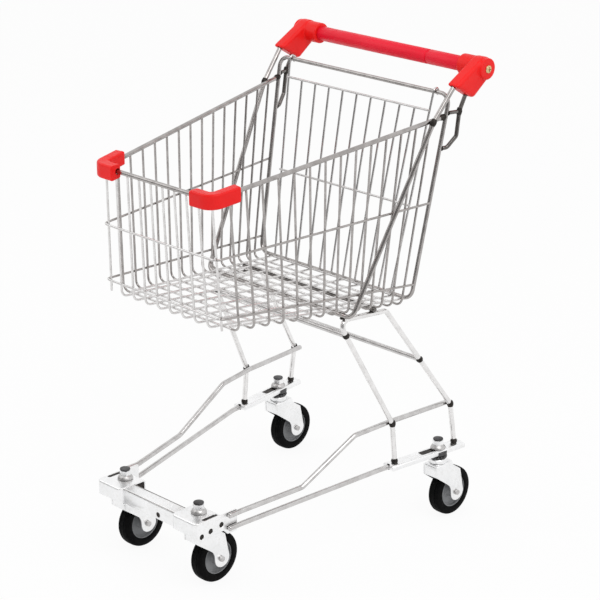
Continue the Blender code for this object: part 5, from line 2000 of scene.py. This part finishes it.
        pieces, lower, upper = [], 0.36, 0.66
        for first, last, waist, finish in ((0.0, lower, 0.44, ZINC), (1.0, upper, 0.58, DARK_STEEL)):
            profile = [
                (level(first), bore), (level(first), outer - ease),
                (level(between(first, last, 0.12)), outer),
                (level(between(first, last, 0.85)), outer), (level(last), outer - 1.2 * ease),
                (level(waist), outer * 0.72), (level(waist), bore),
            ]
            race = turned("race", profile, Z_AXIS, Vector(), steps=48)
            self.shop.coat(race, finish)
            pieces.append(race)
        ball, ring = (level(upper) - level(lower)) * 0.46, outer * 0.84
        for index in range(self.balls):
            angle = math.tau * index / self.balls
            bpy.ops.object.select_all(action="DESELECT")
            bpy.ops.mesh.primitive_uv_sphere_add(segments=14, ring_count=8, radius=ball)
            bead = bpy.context.object
            self.shop.coat(bead, DARK_STEEL)
            spot = Vector((ring * math.cos(angle), ring * math.sin(angle), level((lower + upper) / 2)))
            bead.data.transform(Matrix.Translation(spot))
            pieces.append(smoothed(bead, degrees=60.0))
        return joined(*pieces)

    def nut(self) -> bpy.types.Object:
        """Domed washer with a rolled edge, and the hexagon nut on it.

        Returns:
            The mesh about the kingpin.
        """
        bore, low, ease, neck = self.pin_r + GAP, DECK_Z + GAP, 0.0008, 0.0007
        wide, narrow, tall = self.dome_r, self.nut_across / 2, self.dome_t
        profile = [
            (low, bore), (low, wide - ease), (low + ease, wide), (low + tall * 0.25, wide),
            (low + tall * 0.38, wide - neck), (low + tall * 0.62, wide * 0.88),
            (low + tall * 0.84, narrow * 1.16), (low + tall * 0.96, narrow), (low + tall, narrow * 0.9),
            (low + tall, bore),
        ]
        dome = turned("nut", profile, Z_AXIS, Vector(), steps=56)
        seat = Vector((0, 0, low + tall * 0.8))
        top = hexagon("hexagon", self.nut_across, Z_AXIS, seat, self.nut_t + tall * 0.2)
        # The domed washer takes the darker zinc as painted shade round the foot of the nut
        self.shop.coat(dome, SHADED_ZINC)
        self.shop.coat(top, ZINC)
        return joined(dome, top)

    def build(self) -> None:
        """Model each piece once and copy it to the four corners."""
        rows = (
            (self.fork(), "fork", "swivel", ZINC), (self.axle(), "axle", "swivel", SHADED_ZINC),
            (self.tyre(), "tyre", "wheel", RUBBER), (self.core(), "wheel_core", "wheel", GREY),
            (self.kingpin(), "kingpin", "", DARK_STEEL),
            (self.swivel_head(), "swivel_head", "", DARK_STEEL), (self.nut(), "kingpin_nut", "", ZINC),
        )
        for model, node, body, finish in rows:
            for corner in Corner:
                piece = copied(model, f"caster_{node}_{corner.label}", Matrix.Translation(corner.pin))
                rides_on = f"{body}_{corner.label}" if body else FRAME_BODY
                self.shop.settle(piece, rides_on, finish, f"{node}_{corner.label}")
            bpy.data.objects.remove(model, do_unlink=True)


# Studio

@dataclass
class Studio:
    """White floor and background, soft light, a dark wall for the chrome to reflect, and the camera."""

    camera_at: Triple = (2.6250, -2.5437, 1.7962)
    look_at: Triple = (0.0, 0.068, 0.444)
    roll: float = math.radians(-0.15)
    lens: float = 121.86
    sensor: float = 36.0
    floor_size: float = 40.0
    floor_colour: float = 0.90
    white_share: float = 0.92
    ambient: float = 0.74
    wall_radius: float = 5.0
    wall_height: float = 4.6
    wall_from: float = math.radians(-165.0)
    wall_to: float = math.radians(-5.0)
    wall_colour: float = 0.42

    def aimed(self, place: Triple) -> Matrix:
        """Matrix of a camera or lamp that stands at a place and points at the cart."""
        line = Vector(self.look_at) - Vector(place)
        return Matrix.Translation(place) @ line.to_track_quat("-Z", "Y").to_matrix().to_4x4()

    def camera(self) -> None:
        """Add the camera at the photograph's place."""
        data = bpy.data.cameras.new("camera")
        data.lens = self.lens
        data.sensor_width = self.sensor
        camera = added("camera", data)
        camera.matrix_world = self.aimed(self.camera_at) @ Matrix.Rotation(self.roll, 4, "Z")
        bpy.context.scene.camera = camera

    def seen_directly(self, tree: bpy.types.NodeTree) -> bpy.types.NodeSocket:
        """Add the test for rays from the camera, from gloss or through glass.

        Args:
            tree: Node tree to add it to.

        Returns:
            The socket that is one for such rays.
        """
        path = tree.nodes.new("ShaderNodeLightPath")
        total = path.outputs["Is Camera Ray"]
        for label in ("Is Glossy Ray", "Is Transmission Ray"):
            node = tree.nodes.new("ShaderNodeMath")
            node.operation = "MAXIMUM"
            tree.links.new(total, node.inputs[0])
            tree.links.new(path.outputs[label], node.inputs[1])
            total = node.outputs[0]
        return total

    def world(self) -> None:
        """White world for the eye and for reflections, softer as light."""
        world = bpy.data.worlds.new("studio")
        bpy.context.scene.world = world
        world.use_nodes = True
        tree = world.node_tree
        tree.nodes.clear()
        mix = tree.nodes.new("ShaderNodeMixShader")
        out = tree.nodes.new("ShaderNodeOutputWorld")
        tree.links.new(self.seen_directly(tree), mix.inputs[0])
        for index, strength in ((1, self.ambient), (2, 1.0)):
            sky = tree.nodes.new("ShaderNodeBackground")
            sky.inputs["Color"].default_value = (1, 1, 1, 1)
            sky.inputs["Strength"].default_value = strength
            tree.links.new(sky.outputs[0], mix.inputs[index])
        tree.links.new(mix.outputs[0], out.inputs["Surface"])

    def floor(self) -> None:
        """Pale floor that looks white and keeps a soft shadow."""
        bpy.ops.object.select_all(action="DESELECT")
        bpy.ops.mesh.primitive_plane_add(size=self.floor_size)
        floor = bpy.context.object
        floor.name = "studio_floor"
        material = bpy.data.materials.new("pale_floor")
        material.use_nodes = True
        tree = material.node_tree
        tree.nodes.clear()
        diffuse = tree.nodes.new("ShaderNodeBsdfDiffuse")
        diffuse.inputs["Color"].default_value = (self.floor_colour,) * 3 + (1,)
        glow = tree.nodes.new("ShaderNodeEmission")
        glow.inputs["Color"].default_value = (1, 1, 1, 1)
        share = tree.nodes.new("ShaderNodeMath")
        share.operation = "MULTIPLY"
        share.inputs[1].default_value = self.white_share
        tree.links.new(self.seen_directly(tree), share.inputs[0])
        mix = tree.nodes.new("ShaderNodeMixShader")
        out = tree.nodes.new("ShaderNodeOutputMaterial")
        tree.links.new(share.outputs[0], mix.inputs[0])
        tree.links.new(diffuse.outputs[0], mix.inputs[1])
        tree.links.new(glow.outputs[0], mix.inputs[2])
        tree.links.new(mix.outputs[0], out.inputs["Surface"])
        floor.data.materials.append(material)

    def dark_wall(self) -> None:
        """Dark curved wall behind the camera, which only the chrome sees."""
        steps = 32
        verts, faces = [], []
        for step in range(steps + 1):
            angle = between(self.wall_from, self.wall_to, step / steps)
            x, y = self.wall_radius * math.cos(angle), self.wall_radius * math.sin(angle)
            verts += [(x, y, 0.0), (x, y, self.wall_height)]
        for step in range(steps):
            low = 2 * step
            faces.append((low, low + 2, low + 3, low + 1))
        mesh = bpy.data.meshes.new("dark_wall")
        mesh.from_pydata(verts, [], faces)
        wall = added("dark_wall", mesh)
        material = bpy.data.materials.new("dark_cloth")
        material.use_nodes = True
        shader = material.node_tree.nodes["Principled BSDF"]
        shader.inputs["Base Color"].default_value = (self.wall_colour,) * 3 + (1,)
        shader.inputs["Roughness"].default_value = 1.0
        wall.data.materials.append(material)
        for ray in ("camera", "diffuse", "transmission", "volume_scatter", "shadow"):
            setattr(wall, f"visible_{ray}", False)

    def lamp(self, name: str, place: Triple, size: float, watts: float) -> None:
        """Add a soft square lamp that points at the cart.

        Args:
            name: Name of the lamp.
            place: Where it stands.
            size: Its width.
            watts: Its power.
        """
        data = bpy.data.lights.new(name, "AREA")
        data.size = size
        data.energy = watts
        lamp = added(name, data)
        lamp.matrix_world = self.aimed(place)

    def build(self) -> None:
        """Set up the camera, the light and the floor."""
        bpy.context.scene.view_settings.view_transform = "Standard"
        self.camera()
        self.world()
        self.floor()
        self.dark_wall()
        self.lamp("key", place=(2.2, -0.6, 3.4), size=2.6, watts=42.0)
        self.lamp("fill", place=(-2.4, -2.2, 2.8), size=2.6, watts=20.0)


def write_sizes() -> None:
    """Update the view layer, so that every object's place is current."""
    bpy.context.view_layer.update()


def main() -> None:
    """Build the studio and every piece of the cart."""
    logging.basicConfig(level=logging.INFO, format="%(name)s: %(message)s")
    Studio().build()
    shop = PaintShop()
    basket = Basket(shop)
    basket.build()
    RearGate(shop, basket).build()
    PushHandle(shop, basket).build()
    CornerBumpers(shop, basket).build()
    Chassis(shop, basket).build()
    Casters(shop).build()
    write_sizes()


if __name__ == "__main__":
    main()
